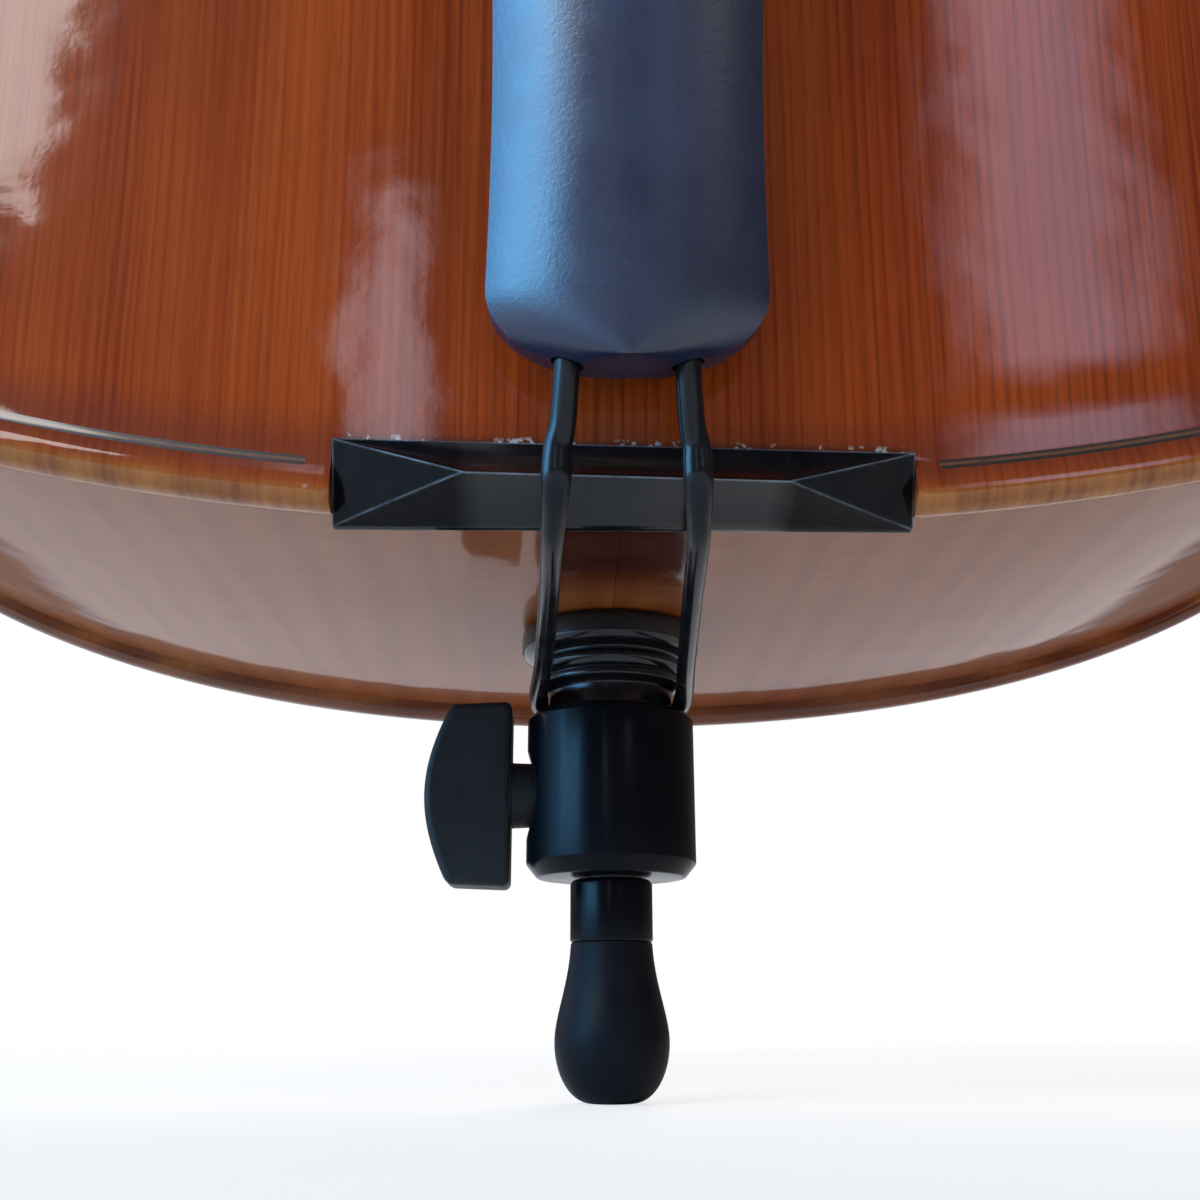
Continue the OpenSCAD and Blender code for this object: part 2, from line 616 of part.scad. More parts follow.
// ======================= neck and head =======================
shaft_len = 208;
function board_w(s) = mix(board_w0, board_w1, s/board_len);   // s from the nut
module half_round(w, d) {
  intersection() {
    scale([w/2, d]) circle(r = 1, $fn = 48);
    translate([-w, 0]) square([2*w, d + 1]);
  }
}

// pegs, C G D A: place in the head frame, and side the head of the peg is on
peg_z = [28, 76, 98, 50];
peg_y = [9, 11, 11.5, 10];
peg_side = [-1, -1, 1, 1];
// 1:15 taper of a peg, by distance from the middle plane
function peg_r(u) = 6.1 + u*0.033;
// +z along the peg, to its head
module peg_frame(i) {
  head_frame() translate([0, peg_y[i], peg_z[i]]) rotate([0, 90*peg_side[i], 0]) children();
}

// side profile (y, z) of pegbox and throat
module head_side() {
  polygon(concat([[-8,0], [-8,6], [-4,60], [1,126]],
    bez_pts([[1,126], [2,136], [-4,140], [-14,146]], 4), [[-20,152], [8,190], [34,168]],
    bez_pts([[34,168], [36,150], [30,134], [29,110]], 5),
    [[26,60], [21.5,8], [19.5,-6], [0,-6]]));
}
// front view (x, z) of the head's right half
head_front = [[board_w0/2,-8], [21,10], [20,60], [16.5,126], [13,140], [13,200]];
// volute discs, stepping out to the eyes: half width, y, z, radius, $fn
volute = [[13, 6, 168, 30, 64], [20, 4, 166, 21, 64], [27, 5, 168, 13, 64], [32, 5, 167, 6.5, 48]];
// front view of the string box's right half
box_front = [[13.2,7], [11.5,36], [11.5,60], [8.5,122]];

module neck() color([0.50, 0.19, 0.06]) union() {
  heel();
  // shaft
  neck_frame() hull() {
    translate([0, 0, -1]) linear_extrude(1) half_round(board_w(0), 19.5);
    translate([0, 0, -shaft_len]) linear_extrude(1) half_round(board_w(shaft_len), foot_depth);
  }
  difference() {
    head_frame() union() {
      intersection() {
        rotate([90, 0, 90]) translate([0, 0, -22]) linear_extrude(44) head_side();
        rotate([90, 0, 0]) translate([0, 0, -60]) linear_extrude(120)
          polygon(concat(head_front, flip(head_front, len(head_front)-1)));
      }
      for (v = volute) translate([-v[0], v[1], v[2]]) rotate([0, 90, 0])
        cylinder(r = v[3], h = 2*v[0], $fn = v[4]);
    }
    // string box
    head_frame() rotate([90, 0, 0]) translate([0, 0, -19]) linear_extrude(60)
      polygon(concat(box_front, flip(box_front, len(box_front)-1)));
    // seat of the fingerboard and nut
    neck_frame() translate([-40, -20, -30]) cube([80, 20, 37]);
    // run-in of the strings behind the nut
    head_frame() translate([-13.2, -20, 2.5]) cube([26.4, 14.8, 5]);
    for (i = [0:3]) peg_frame(i) translate([0, 0, -30])
      cylinder(r1 = peg_r(-30) + 0.05, r2 = peg_r(30) + 0.05, h = 60, $fn = 48);
  }
}

// cross-section of the fingerboard at s from the nut
module board_slice(s) {
  half_w = board_w(s)/2;
  polygon(concat([[-half_w,0], [half_w,0]],
    [for (i = [0:12]) let(x = half_w*(1 - i/6)) [x, board_t - sag(board_r, x)]]));
}
module fingerboard() color(ebony) neck_frame() difference() {
  hull() {
    translate([0, 0, -0.5]) rotate([0, 0, 180]) linear_extrude(0.5) board_slice(0);
    translate([0, 0, -board_len]) rotate([0, 0, 180]) linear_extrude(0.5)
      board_slice(board_len);
  }
  // hollow under the free end
  hull() {
    translate([0, 4.5, -290]) cylinder(r = 7, h = 1, $fn = 32);
    translate([0, 10, -board_len - 5]) cylinder(r = 17, h = 1, $fn = 32);
  }
}
nut_top = board_t + 1.6;
module nut() color(ebony) difference() {
  neck_frame() intersection() {
    translate([-board_w0/2, -nut_top, 0]) cube([board_w0, nut_top, 6]);
    translate([0, board_r - nut_top, -1]) cylinder(r = board_r, h = 8, $fn = 128);
  }
  for (i = [0:3]) string_run(i, 0.02);
}

module peg(i) color([0.04, 0.03, 0.03]) peg_frame(i) {
  translate([0, 0, -25]) cylinder(r1 = peg_r(-25), r2 = peg_r(27), h = 52, $fn = 48);
  // turned collar
  rotate_extrude($fn = 48)
    polygon([[0,27], [7.2,27], [8.4,28], [8.6,29.4], [7.4,30.6], [5.2,31.4], [4.7,36],
             [5.2,41], [0,41]]);
  // flat thumb piece
  hull() {
    translate([0, 0, 40]) cylinder(r = 5, h = 1, $fn = 24);
    for (m = [-1, 1]) translate([-3.4, m*8.5, 54]) rotate([0, 90, 0])
      cylinder(r = 7.5, h = 6.8, $fn = 28);
    translate([-3, 0, 60]) rotate([0, 90, 0]) cylinder(r = 5, h = 6, $fn = 24);
  }
}
coil_x = [-7.2, -3.6, 3.6, 7.2];
function coil_r(i) = peg_r(coil_x[i]*peg_side[i]);
// where a string meets the front of its winding
function coil_pt(i) =
  head_pt(coil_x[i], peg_y[i] - coil_r(i) - string_r[i] - 0.8, peg_z[i] - 5.2);
module coil(i) color(steel) peg_frame(i)
  for (k = [-2:1])
    translate([0, 0, coil_x[i]*peg_side[i]*0.6 + k*2.02*string_r[i]]) difference() {
      cylinder(r = coil_r(i) + 1.0, h = 1.9*string_r[i], $fn = 48);
      translate([0, 0, -1]) cylinder(r = coil_r(i) + 0.12, h = 4, $fn = 48);
    }

// ======================= endpin =======================
plug_len = 15;                         // plug below the rib
collar_r = collar_d/2;
collar_top = rib_bottom - plug_len;
collar_bottom = collar_top - collar_len;
rod_r = rod_d/2;
bore_r = rod_r + 0.06;
// flange, bead, ring, then the groove that takes the gut: (radius, depth below the rib)
plug_profile = [[0,0], [14.5,0], [15.2,0.9], [15.2,4.0], [14.4,4.9], [11.8,5.3], [11.8,6.1],
  [12.9,6.7], [13.3,7.6], [12.9,8.4], [11.8,8.9], [12.3,9.3], [12.3,10.1], [11.4,10.5],
  [groove_r,10.9], [groove_r,14.6], [11.4,plug_len], [0,plug_len]];
module endpin_plug() color([0.03, 0.03, 0.03]) difference() {
  union() {
    translate([0, 0, rib_bottom])
      cylinder(r1 = plug_r0 - (plug_r0 - plug_r1)/plug_taper_len, r2 = plug_r1,
               h = plug_taper_len - 1, $fn = 64);
    rotate_extrude($fn = 72) polygon([for (p = plug_profile) [p[0], rib_bottom - p[1]]]);
  }
  translate([0, 0, collar_top - 5]) cylinder(r = bore_r, h = 80, $fn = 64);
}

// the clamp screw lies along X, on the bass side
clamp_z = rib_bottom - 28.4;
module endpin_collar() color([0.04, 0.04, 0.05]) difference() {
  rotate_extrude($fn = 96)
    polygon([[0,collar_top], [collar_r-0.8,collar_top], [collar_r,collar_top-0.8],
             [collar_r,collar_bottom+2.2], [collar_r-1.8,collar_bottom], [0,collar_bottom]]);
  translate([0, 0, collar_bottom - 5]) cylinder(r = bore_r, h = collar_len + 10, $fn = 64);
  // countersunk seat and hole of the clamp screw
  translate([-collar_r - 2, 0, clamp_z]) rotate([0, 90, 0]) {
    cylinder(r1 = 8.6, r2 = 5.9, h = 4.8, $fn = 64);
    cylinder(r = 3.05, h = collar_r, $fn = 48);
  }
}
module clamp_screw() color([0.55, 0.55, 0.57])
  translate([0, 0, clamp_z]) rotate([0, -90, 0]) {
    translate([0, 0, rod_r + 0.9]) cylinder(r = 3, h = 16, $fn = 48);
    translate([0, 0, rod_r + 0.05]) cylinder(r1 = 2.2, r2 = 3, h = 0.85, $fn = 48);
  }
paddle_x = 16.6;                       // rod axis to the paddle's inner edge
paddle_h = 30.5;
paddle_t = 9.2;
module clamp_knob() color(black_fitting) translate([0, 0, clamp_z]) difference() {
  union() {
    // paddle with a bowed outer edge
    rotate([90, 0, 0]) translate([0, 0, -paddle_t/2]) linear_extrude(paddle_t)
      offset(r = 1, $fn = 24) offset(delta = -1)
        polygon(concat([[-paddle_x, -paddle_h/2], [-paddle_x, paddle_h/2]],
          [for (i = [0:10]) let(t = i/10)
            [-paddle_x - 10 - 4.2*sin(180*t), paddle_h/2 - 0.4 - (paddle_h - 0.8)*t]]));
    rotate([0, -90, 0]) cylinder(r1 = 5.2, r2 = 5.4, h = paddle_x + 1, $fn = 48);
  }
  rotate([0, -90, 0]) cylinder(r = 3.005, h = 22.5, $fn = 48);
  // the hub ends short of the rod
  translate([-11.75, -10, -10]) cube([20, 20, 20]);
}

ferrule_top = collar_bottom - 0.3;
ferrule_bottom = ferrule_top - 9.9;
ferrule_r = ferrule_d/2;
rod_bottom = ferrule_bottom + 2;
spike_r = 2.6;                         // thin end of the rod inside the tip
spike_z = 9;                           // where the spike starts to taper
module endpin_rod() color([0.06, 0.06, 0.065]) {
  translate([0, 0, rod_bottom]) cylinder(r = rod_r, h = rod_len, $fn = 64);
  translate([0, 0, spike_z]) cylinder(r = spike_r, h = rod_bottom - spike_z, $fn = 40);
  translate([0, 0, 4]) cylinder(r1 = 0.2, r2 = spike_r, h = 5, $fn = 40);
}
module tip_ferrule() color([0.05, 0.05, 0.06]) difference() {
  rotate_extrude($fn = 72)
    polygon([[0,ferrule_top], [ferrule_r-0.5,ferrule_top], [ferrule_r,ferrule_top-0.5],
             [ferrule_r,ferrule_bottom+0.15], [ferrule_r-0.25,ferrule_bottom],
             [0,ferrule_bottom]]);
  translate([0, 0, rod_bottom]) cylinder(r = rod_r + 0.01, h = 20, $fn = 64);
  translate([0, 0, ferrule_bottom - 5]) cylinder(r = spike_r + 0.01, h = 20, $fn = 40);
}
// profile of the rubber tip (radius, z): side from the ferrule down, then round to the floor
tip_side = [[ferrule_r-0.1, ferrule_bottom-0.25], [ferrule_r+0.3, ferrule_bottom-7],
            [tip_d/2-0.05, ferrule_bottom-11], [tip_d/2, 9.0]];
tip_foot = [[tip_d/2, 9.0], [tip_d/2-0.1, 4], [6.6, 0], [3.2, 0]];
module tip_rubber() color([0.06, 0.065, 0.075]) difference() {
  rotate_extrude($fn = 72)
    polygon(concat([[0,0]], [for (i = [8:-1:0]) bez(tip_foot, i/8)],
                   [for (i = [7:-1:0]) bez(tip_side, i/8)],
                   [[ferrule_r-0.3, ferrule_bottom-0.02], [0, ferrule_bottom-0.02]]));
  translate([0, 0, spike_z]) cylinder(r = spike_r + 0.01, h = 40, $fn = 40);
  translate([0, 0, 3.9]) cylinder(r1 = 0.25, r2 = spike_r + 0.01, h = 5.1 + eps, $fn = 40);
}

top_plate();
back_plate();
lower_ribs();
centre_ribs();
upper_ribs();
linings();
corner_blocks();
upper_block();
lower_block();
bass_bar();
sound_post();
purfling_top();
purfling_back();
saddle();
tailgut();
tailgut_nuts();
tailpiece();
bridge();
neck();
fingerboard();
nut();
for (i = [0:3]) {
  peg(i);
  coil(i);
  string(i);
  string_end(i);
  tuner_lever(i);
  tuner_screw(i);
  tuner_knob(i);
}
tuner_axle();
endpin_plug();
endpin_collar();
clamp_screw();
clamp_knob();
endpin_rod();
tip_ferrule();
tip_rubber();
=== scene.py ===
# A cello on its endpin, with its floor, lights and camera.
# Sizes are in millimetres; add() turns them into metres. Z is up, X runs across the body, and
# the top plate, strings and bridge face -Y. The endpin tip stands on the floor at Z = 0.
import bpy, bmesh, math, json
import numpy as np
from mathutils import Vector, Matrix
from mathutils.geometry import delaunay_2d_cdt


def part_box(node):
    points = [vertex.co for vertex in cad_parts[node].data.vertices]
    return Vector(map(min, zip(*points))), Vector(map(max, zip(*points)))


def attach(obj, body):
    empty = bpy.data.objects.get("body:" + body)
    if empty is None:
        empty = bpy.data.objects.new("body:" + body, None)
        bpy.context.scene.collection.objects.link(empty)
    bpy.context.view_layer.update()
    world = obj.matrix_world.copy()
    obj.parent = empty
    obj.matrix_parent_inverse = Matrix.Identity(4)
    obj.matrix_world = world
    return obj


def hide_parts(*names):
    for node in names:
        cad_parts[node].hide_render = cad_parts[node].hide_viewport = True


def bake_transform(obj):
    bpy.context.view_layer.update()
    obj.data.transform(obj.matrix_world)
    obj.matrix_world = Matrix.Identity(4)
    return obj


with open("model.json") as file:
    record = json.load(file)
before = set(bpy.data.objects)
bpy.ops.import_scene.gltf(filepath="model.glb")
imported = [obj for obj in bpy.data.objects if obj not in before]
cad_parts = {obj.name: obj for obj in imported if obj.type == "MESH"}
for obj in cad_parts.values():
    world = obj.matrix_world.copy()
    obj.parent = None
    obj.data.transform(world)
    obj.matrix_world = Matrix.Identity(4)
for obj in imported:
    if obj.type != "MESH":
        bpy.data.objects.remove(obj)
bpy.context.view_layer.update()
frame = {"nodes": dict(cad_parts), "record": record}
MM = 0.001


def box_mm(node):
    """Low and high corners of a CAD node."""
    low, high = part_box(node)
    return np.array(low) * 1000, np.array(high) * 1000


# ------------------------------------------------------------------ driving sizes
plate_low, plate_high = box_mm("top_plate")
saddle_low, saddle_high = box_mm("saddle")
collar_low, collar_high = box_mm("endpin_collar")
bridge_low, bridge_high = box_mm("bridge")
board_low, board_high = box_mm("fingerboard")

LENGTH = 755.0                               # body, without neck
BASE_Z = saddle_low[2]
LOWER_HALF = (plate_high[0] - plate_low[0]) / 2
WAIST_HALF, UPPER_HALF = 116.0, 171.0
BACK_Y = box_mm("centre_ribs")[1][1]         # gluing planes of the two plates
FRONT_Y = -BACK_Y
OVERHANG = 3.5                               # plate edge beyond the ribs
RIB_Z = BASE_Z + OVERHANG
EDGE_T = 5.0
EDGE_R, INNER_EDGE_R = 2.3, 1.6
ARCH_FRONT, ARCH_BACK = 20.0, 21.0
ARCH_MARGIN = 12
SADDLE_Y, SADDLE_HALF = saddle_low[1], saddle_high[0]
NECK_ROOT_Z = 812.0
BUTTON_S, BUTTON_R = LENGTH - 3, 16          # round button at the top of the back plate

# ------------------------------------------------------------------ mesh helpers
SCENE_ITEMS = bpy.context.scene.collection
MATERIALS = {}


def add(name, points, faces, material=None, smooth=True, attributes=None):
    mesh = bpy.data.meshes.new(name)
    points = [tuple(map(float, point)) for point in np.asarray(points, float) * MM]
    mesh.from_pydata(points, [], [tuple(map(int, face)) for face in faces])
    mesh.update()
    ob = bpy.data.objects.new(name, mesh)
    SCENE_ITEMS.objects.link(ob)
    for key, values in (attributes or {}).items():
        attribute = mesh.attributes.new(key, "FLOAT", "POINT")
        attribute.data.foreach_set("value", np.asarray(values, np.float32))
    bm = bmesh.new()
    bm.from_mesh(mesh)
    bmesh.ops.recalc_face_normals(bm, faces=bm.faces)
    bm.to_mesh(mesh)
    bm.free()
    if smooth:
        shade_smooth(mesh)
    if material:
        mesh.materials.append(MATERIALS[material])
    return ob


def shade_smooth(mesh):
    mesh.polygons.foreach_set("use_smooth", [True] * len(mesh.polygons))


def sharp(ob, degrees):
    """Keeps edges sharper than this angle crisp in the shading."""
    bm = bmesh.new()
    bm.from_mesh(ob.data)
    for e in bm.edges:
        crisp = len(e.link_faces) == 2 and e.calc_face_angle(0) > math.radians(degrees)
        e.smooth = not crisp
    bm.to_mesh(ob.data)
    bm.free()
    return ob


def bevel(ob, width, segments, angle):
    modifier = ob.modifiers.new("bevel", "BEVEL")
    modifier.width = width * MM
    modifier.segments = segments
    modifier.limit_method = "ANGLE"
    modifier.angle_limit = math.radians(angle)


def loft(name, rows, material=None, ring=False):
    """Solid through closed loops of points: capped, or a ring whose last loop meets its first."""
    count, size = len(rows), len(rows[0])
    faces = []
    for i in range(count if ring else count - 1):
        a, b = i * size, (i + 1) % count * size
        faces += [(a + j, b + j, b + (j + 1) % size, a + (j + 1) % size) for j in range(size)]
    if not ring:
        last = (count - 1) * size
        faces += [tuple(range(size)), tuple(range(last, last + size))]
    return add(name, [point for row in rows for point in row], faces, material)


def circle(count):
    return [2 * math.pi * k / count for k in range(count)]


def lathe(name, profile, material=None, origin=(0, 0, 0), axis=(0, 0, 1), sides=128):
    """Turned solid. The profile lists (radius, height) from one end of the axis to the other."""
    turn = Vector((0, 0, 1)).rotation_difference(Vector(axis).normalized())
    rows = [[np.array(turn @ Vector((r * math.cos(a), r * math.sin(a), h))) + np.array(origin)
             for a in circle(sides)] for r, h in profile]
    return sharp(loft(name, rows, material), 40)


def ring_lathe(name, profile, material, sides):
    """Turned ring with an open bore. The (radius, height) profile closes on itself."""
    rows = [[(r * math.cos(a), r * math.sin(a), h) for a in circle(sides)] for r, h in profile]
    return sharp(loft(name, rows, material, ring=True), 40)


def rounded(profile, radius, steps):
    """Rounds the corners of a profile."""
    out = [profile[0]]
    for i in range(1, len(profile) - 1):
        before, corner, after = (np.array(profile[k], float) for k in (i - 1, i, i + 1))
        a, b = before - corner, after - corner
        len_a, len_b = np.linalg.norm(a), np.linalg.norm(b)
        cut_back = min(radius, len_a * 0.45, len_b * 0.45)
        start, end = corner + a / len_a * cut_back, corner + b / len_b * cut_back
        for step in range(steps + 1):
            t = step / steps
            out.append(tuple((1 - t) ** 2 * start + 2 * t * (1 - t) * corner + t * t * end))
    out.append(profile[-1])
    return out


def catmull(points, steps):
    """Smooth curve through points."""
    last = len(points) - 1
    out = []
    for i in range(last):
        p0, p1, p2, p3 = (points[min(max(k, 0), last)] for k in range(i - 1, i + 3))
        for t in np.arange(steps) / steps:
            out.append(0.5 * (2 * p1 + (p2 - p0) * t + (2 * p0 - 5 * p1 + 4 * p2 - p3) * t * t
                              + (3 * p1 - p0 - 3 * p2 + p3) * t ** 3))
    out.append(points[-1])
    return np.array(out)


def sweep(name, path, radius, material, sides, across=None, squash=None):
    """Capped tube along a path. squash holds (across, other) radius factors for each point."""
    path = np.asarray(path, float)
    along = np.gradient(path, axis=0)
    along /= np.linalg.norm(along, axis=1)[:, None]
    if across is None:
        across = np.cross(along[0], (0.0, 0.0, 1.0))
    if squash is None:
        squash = np.ones((len(path), 2))
    rows = []
    for point, tangent, (wide, thin) in zip(path, along, squash):
        across = across - tangent * (across @ tangent)
        across /= np.linalg.norm(across)
        other = np.cross(tangent, across)
        rows.append([point + radius * (wide * math.cos(a) * across + thin * math.sin(a) * other)
                     for a in circle(sides)])
    return loft(name, rows, material)


def bezier(control, steps):
    """Cubic curve without its end point."""
    p = np.array(control, float)
    t = np.arange(steps)[:, None] / steps
    return (p[0] * (1 - t) ** 3 + 3 * p[1] * (1 - t) ** 2 * t + 3 * p[2] * (1 - t) * t * t
            + p[3] * t ** 3)


def chain(curves, steps):
    return np.concatenate([bezier(curve, n) for curve, n in zip(curves, steps)])


def smoothstep(x, low, high):
    t = np.clip((x - low) / (high - low), 0, 1)
    return t * t * (3 - 2 * t)


def mirror(points):
    return [(-x, y) for x, y in points]


def left_normals(steps):
    unit = steps / np.linalg.norm(steps, axis=1)[:, None]
    return np.c_[-unit[:, 1], unit[:, 0]]


def disc(x, s, radius, count):
    a = np.linspace(0, 2 * np.pi, count, endpoint=False)
    return np.c_[x + radius * np.cos(a), s + radius * np.sin(a)]


def loop_edges(start, count):
    return [(start + i, start + (i + 1) % count) for i in range(count)]


def triangulate(points, edges, mode=0):
    """Flat triangulation that keeps the edges. Mode 1 keeps only what lies inside them."""
    points, _, faces, *_ = delaunay_2d_cdt([Vector(p) for p in points], edges, [], mode, 1e-4, True)
    return np.array([[p.x, p.y] for p in points]), np.array([f for f in faces if len(f) == 3])


def compact(count, faces):
    """Indices of the used points, and the faces renumbered onto them."""
    used = np.unique(faces)
    renumber = -np.ones(count, int)
    renumber[used] = np.arange(len(used))
    return used, renumber[faces]


def shell(name, upper, lower, faces, material, angle=40, attributes=None):
    """Closed solid between two sets of points that share one flat mesh."""
    n = len(upper)
    faces = [tuple(map(int, face)) for face in faces]
    border = {}
    for face in faces:
        for a, b in zip(face, face[1:] + face[:1]):
            key = (min(a, b), max(a, b))
            border[key] = None if key in border else (a, b)
    solid = faces + [tuple(i + n for i in face[::-1]) for face in faces]
    solid += [(b, a, a + n, b + n) for a, b in filter(None, border.values())]
    doubled = {key: np.concatenate([v, v]) for key, v in (attributes or {}).items()}
    points = np.concatenate([upper, lower])
    return sharp(add(name, points, solid, material, attributes=doubled), angle)


# ------------------------------------------------------------------ outline and arching
# Half outline in (x, s), s being the height over the bottom edge; each curve is a cubic.
LOWER_BOUT = [[0, 0], [LOWER_HALF * 0.68, 0], [LOWER_HALF, 66], [LOWER_HALF, 172]]
LOWER_CORNER = [[LOWER_HALF, 172], [LOWER_HALF, 235], [LOWER_HALF - 57, 268],
                [LOWER_HALF - 34, 300]]
WAIST_LOWER = [[LOWER_HALF - 39.5, 307], [LOWER_HALF - 80, 318], [WAIST_HALF, 360],
               [WAIST_HALF, 420]]
WAIST_UPPER = [[WAIST_HALF, 420], [WAIST_HALF, 470], [WAIST_HALF + 6, 508],
               [UPPER_HALF - 23, 519]]
UPPER_CORNER = [[UPPER_HALF - 18.5, 526], [UPPER_HALF - 39, 556], [UPPER_HALF, 590],
                [UPPER_HALF, 640]]
UPPER_BOUT = [[UPPER_HALF, 640], [UPPER_HALF, 705], [UPPER_HALF * 0.67, LENGTH], [0, LENGTH]]
# Corner-free version of the sides, which sets the width of the arching.
PLAIN_LOWER = [LOWER_BOUT[3], [LOWER_HALF, 262], [WAIST_HALF, 318], [WAIST_HALF, 420]]
PLAIN_UPPER = [[WAIST_HALF, 420], [WAIST_HALF, 505], [UPPER_HALF, 560], [UPPER_HALF, 640]]


def resample(points, step):
    """Even spacing along a polyline that keeps its sharp corners."""
    corners = [0]
    for i in range(1, len(points) - 1):
        a, b = points[i] - points[i - 1], points[i + 1] - points[i]
        if np.dot(a, b) / (np.linalg.norm(a) * np.linalg.norm(b) + 1e-12) < 0.9:
            corners.append(i)
    corners.append(len(points) - 1)
    out = []
    for a, b in zip(corners[:-1], corners[1:]):
        part = points[a:b + 1]
        reach = distance_along(part)
        count = max(1, int(round(reach[-1] / step)))
        out.append(at_distance(part, np.linspace(0, reach[-1], count + 1)[:-1]))
    out.append(points[-1:])
    return np.concatenate(out)


def distance_along(points):
    return np.concatenate([[0], np.cumsum(np.linalg.norm(np.diff(points, axis=0), axis=1))])


def at_distance(points, distance):
    reach = distance_along(points)
    return np.c_[np.interp(distance, reach, points[:, 0]), np.interp(distance, reach, points[:, 1])]


HALF = resample(np.concatenate([
    bezier(LOWER_BOUT, 64), bezier(LOWER_CORNER, 64), [LOWER_CORNER[3]],
    bezier(WAIST_LOWER, 64), bezier(WAIST_UPPER, 64), [WAIST_UPPER[3]],
    bezier(UPPER_CORNER, 64), bezier(UPPER_BOUT, 64), [[0, LENGTH]]]), 2.6)
RING = np.concatenate([HALF, HALF[-2:0:-1] * [-1, 1]])          # closed, anticlockwise
PLAIN = np.concatenate([chain([LOWER_BOUT, PLAIN_LOWER, PLAIN_UPPER, UPPER_BOUT], [64] * 4),
                        [[0, LENGTH]]])


def dome(x, s):
    """Arching, from 0 at the edge to 1 along the middle."""
    width = np.interp(s, PLAIN[:, 1], PLAIN[:, 0]) - ARCH_MARGIN
    u = np.clip(np.abs(x) / np.maximum(width, 4), 0, 1)
    across = 0.5 + 0.5 * np.cos(np.pi * u ** 1.3)

    def rise(q):
        return (0.5 - 0.5 * np.cos(np.pi * np.clip(q, 0, 1))) ** 0.75
    return np.where(width < 4, 0, across * rise((s - ARCH_MARGIN) / 215)
                    * rise((LENGTH - ARCH_MARGIN - s) / 190))


def edge_distance(points, ring):
    """Distance from points to a closed polyline, and whether each is inside it."""
    start, end = ring, np.roll(ring, -1, axis=0)
    side = end - start
    rise = np.where(np.abs(side[:, 1]) < 1e-12, 1e-12, side[:, 1])
    out = np.empty(len(points))
    inside = np.zeros(len(points), bool)
    for k in range(0, len(points), 2000):
        p = points[k:k + 2000, None, :]
        t = np.clip(((p - start) * side).sum(2) / np.maximum((side ** 2).sum(1), 1e-12), 0, 1)
        gap = start + t[..., None] * side - p
        out[k:k + 2000] = np.sqrt((gap ** 2).sum(2).min(1))
        y = p[..., 1]
        crosses = (start[:, 1] > y) != (end[:, 1] > y)
        at_x = start[:, 0] + (y - start[:, 1]) / rise * side[:, 0]
        inside[k:k + 2000] = ((crosses & (p[..., 0] < at_x)).sum(1) % 2).astype(bool)
    return out, inside


def inset_points(inset):
    points = RING + left_normals(np.roll(RING, -1, 0) - np.roll(RING, 1, 0)) * inset
    distance, inside = edge_distance(points, RING)
    return points[(distance > inset * 0.97) & inside]


# ------------------------------------------------------------------ sound holes
SOUND_HOLE = [[[50, 414], [50.5, 430], [66, 436], [70.5, 415]],
              [[70.5, 415], [75, 392], [75.5, 330], [81, 304]],
              [[81, 304], [85.5, 283], [101.5, 287], [102, 303]]]


def sound_hole():
    """One sound hole on the +X side: tapered stem and the two round ends."""
    spine = np.concatenate([chain(SOUND_HOLE, (18, 34, 18)), [[102, 303]]])
    n = len(spine)
    width = 1.6 + 3.6 * np.sin(np.pi * np.arange(n) / (n - 1)) ** 1.6
    side = left_normals(np.gradient(spine, axis=0)) * width[:, None]
    stem = np.concatenate([spine + side, (spine - side)[::-1]])
    return [stem, disc(55, 412.5, 6.2, 40), disc(97.5, 303, 8.2, 40)]


# ------------------------------------------------------------------ plates
INSETS = [0.25, 0.6, 1.1, 1.7, 2.4, 3.2, 4.3, 5.4, 6.05, 6.7, 7.8, 9.4, 11.6, 14.5, 18.5, 23]
BUTTON_INSETS = [0.25, 0.6, 1.1, 1.7, 2.4, 4]
GRID = 6.5


def edge_drop(distance, radius):
    inward = radius - np.minimum(distance, radius)
    return radius - np.sqrt(np.maximum(radius * radius - inward ** 2, 0))


def outer_height(distance, x, s, arch):
    """Height of a plate's outer surface over the gluing plane."""
    channel = 0.95 * smoothstep(distance, 2.4, 7.0) * (1 - smoothstep(distance, 9.0, 21.0))
    return EDGE_T - edge_drop(distance, EDGE_R) - channel + arch * dome(x, s)


def front_cuts():
    """Openings of the top plate: saddle notch, neck notch and sound holes."""
    half, top = SADDLE_HALF + 0.15, OVERHANG + 6.45
    root, root_half = NECK_ROOT_Z - BASE_Z, 22.1
    cuts = [np.array([[-half, -20], [half, -20], [half, top - 0.75], [-half, top + 0.75]]),
            np.array([[-root_half, root], [root_half, root],
                      [root_half, LENGTH + 20], [-root_half, LENGTH + 20]])]
    for side in (1, -1):
        cuts += [(part * [side, 1])[::side] for part in sound_hole()]
    return cuts


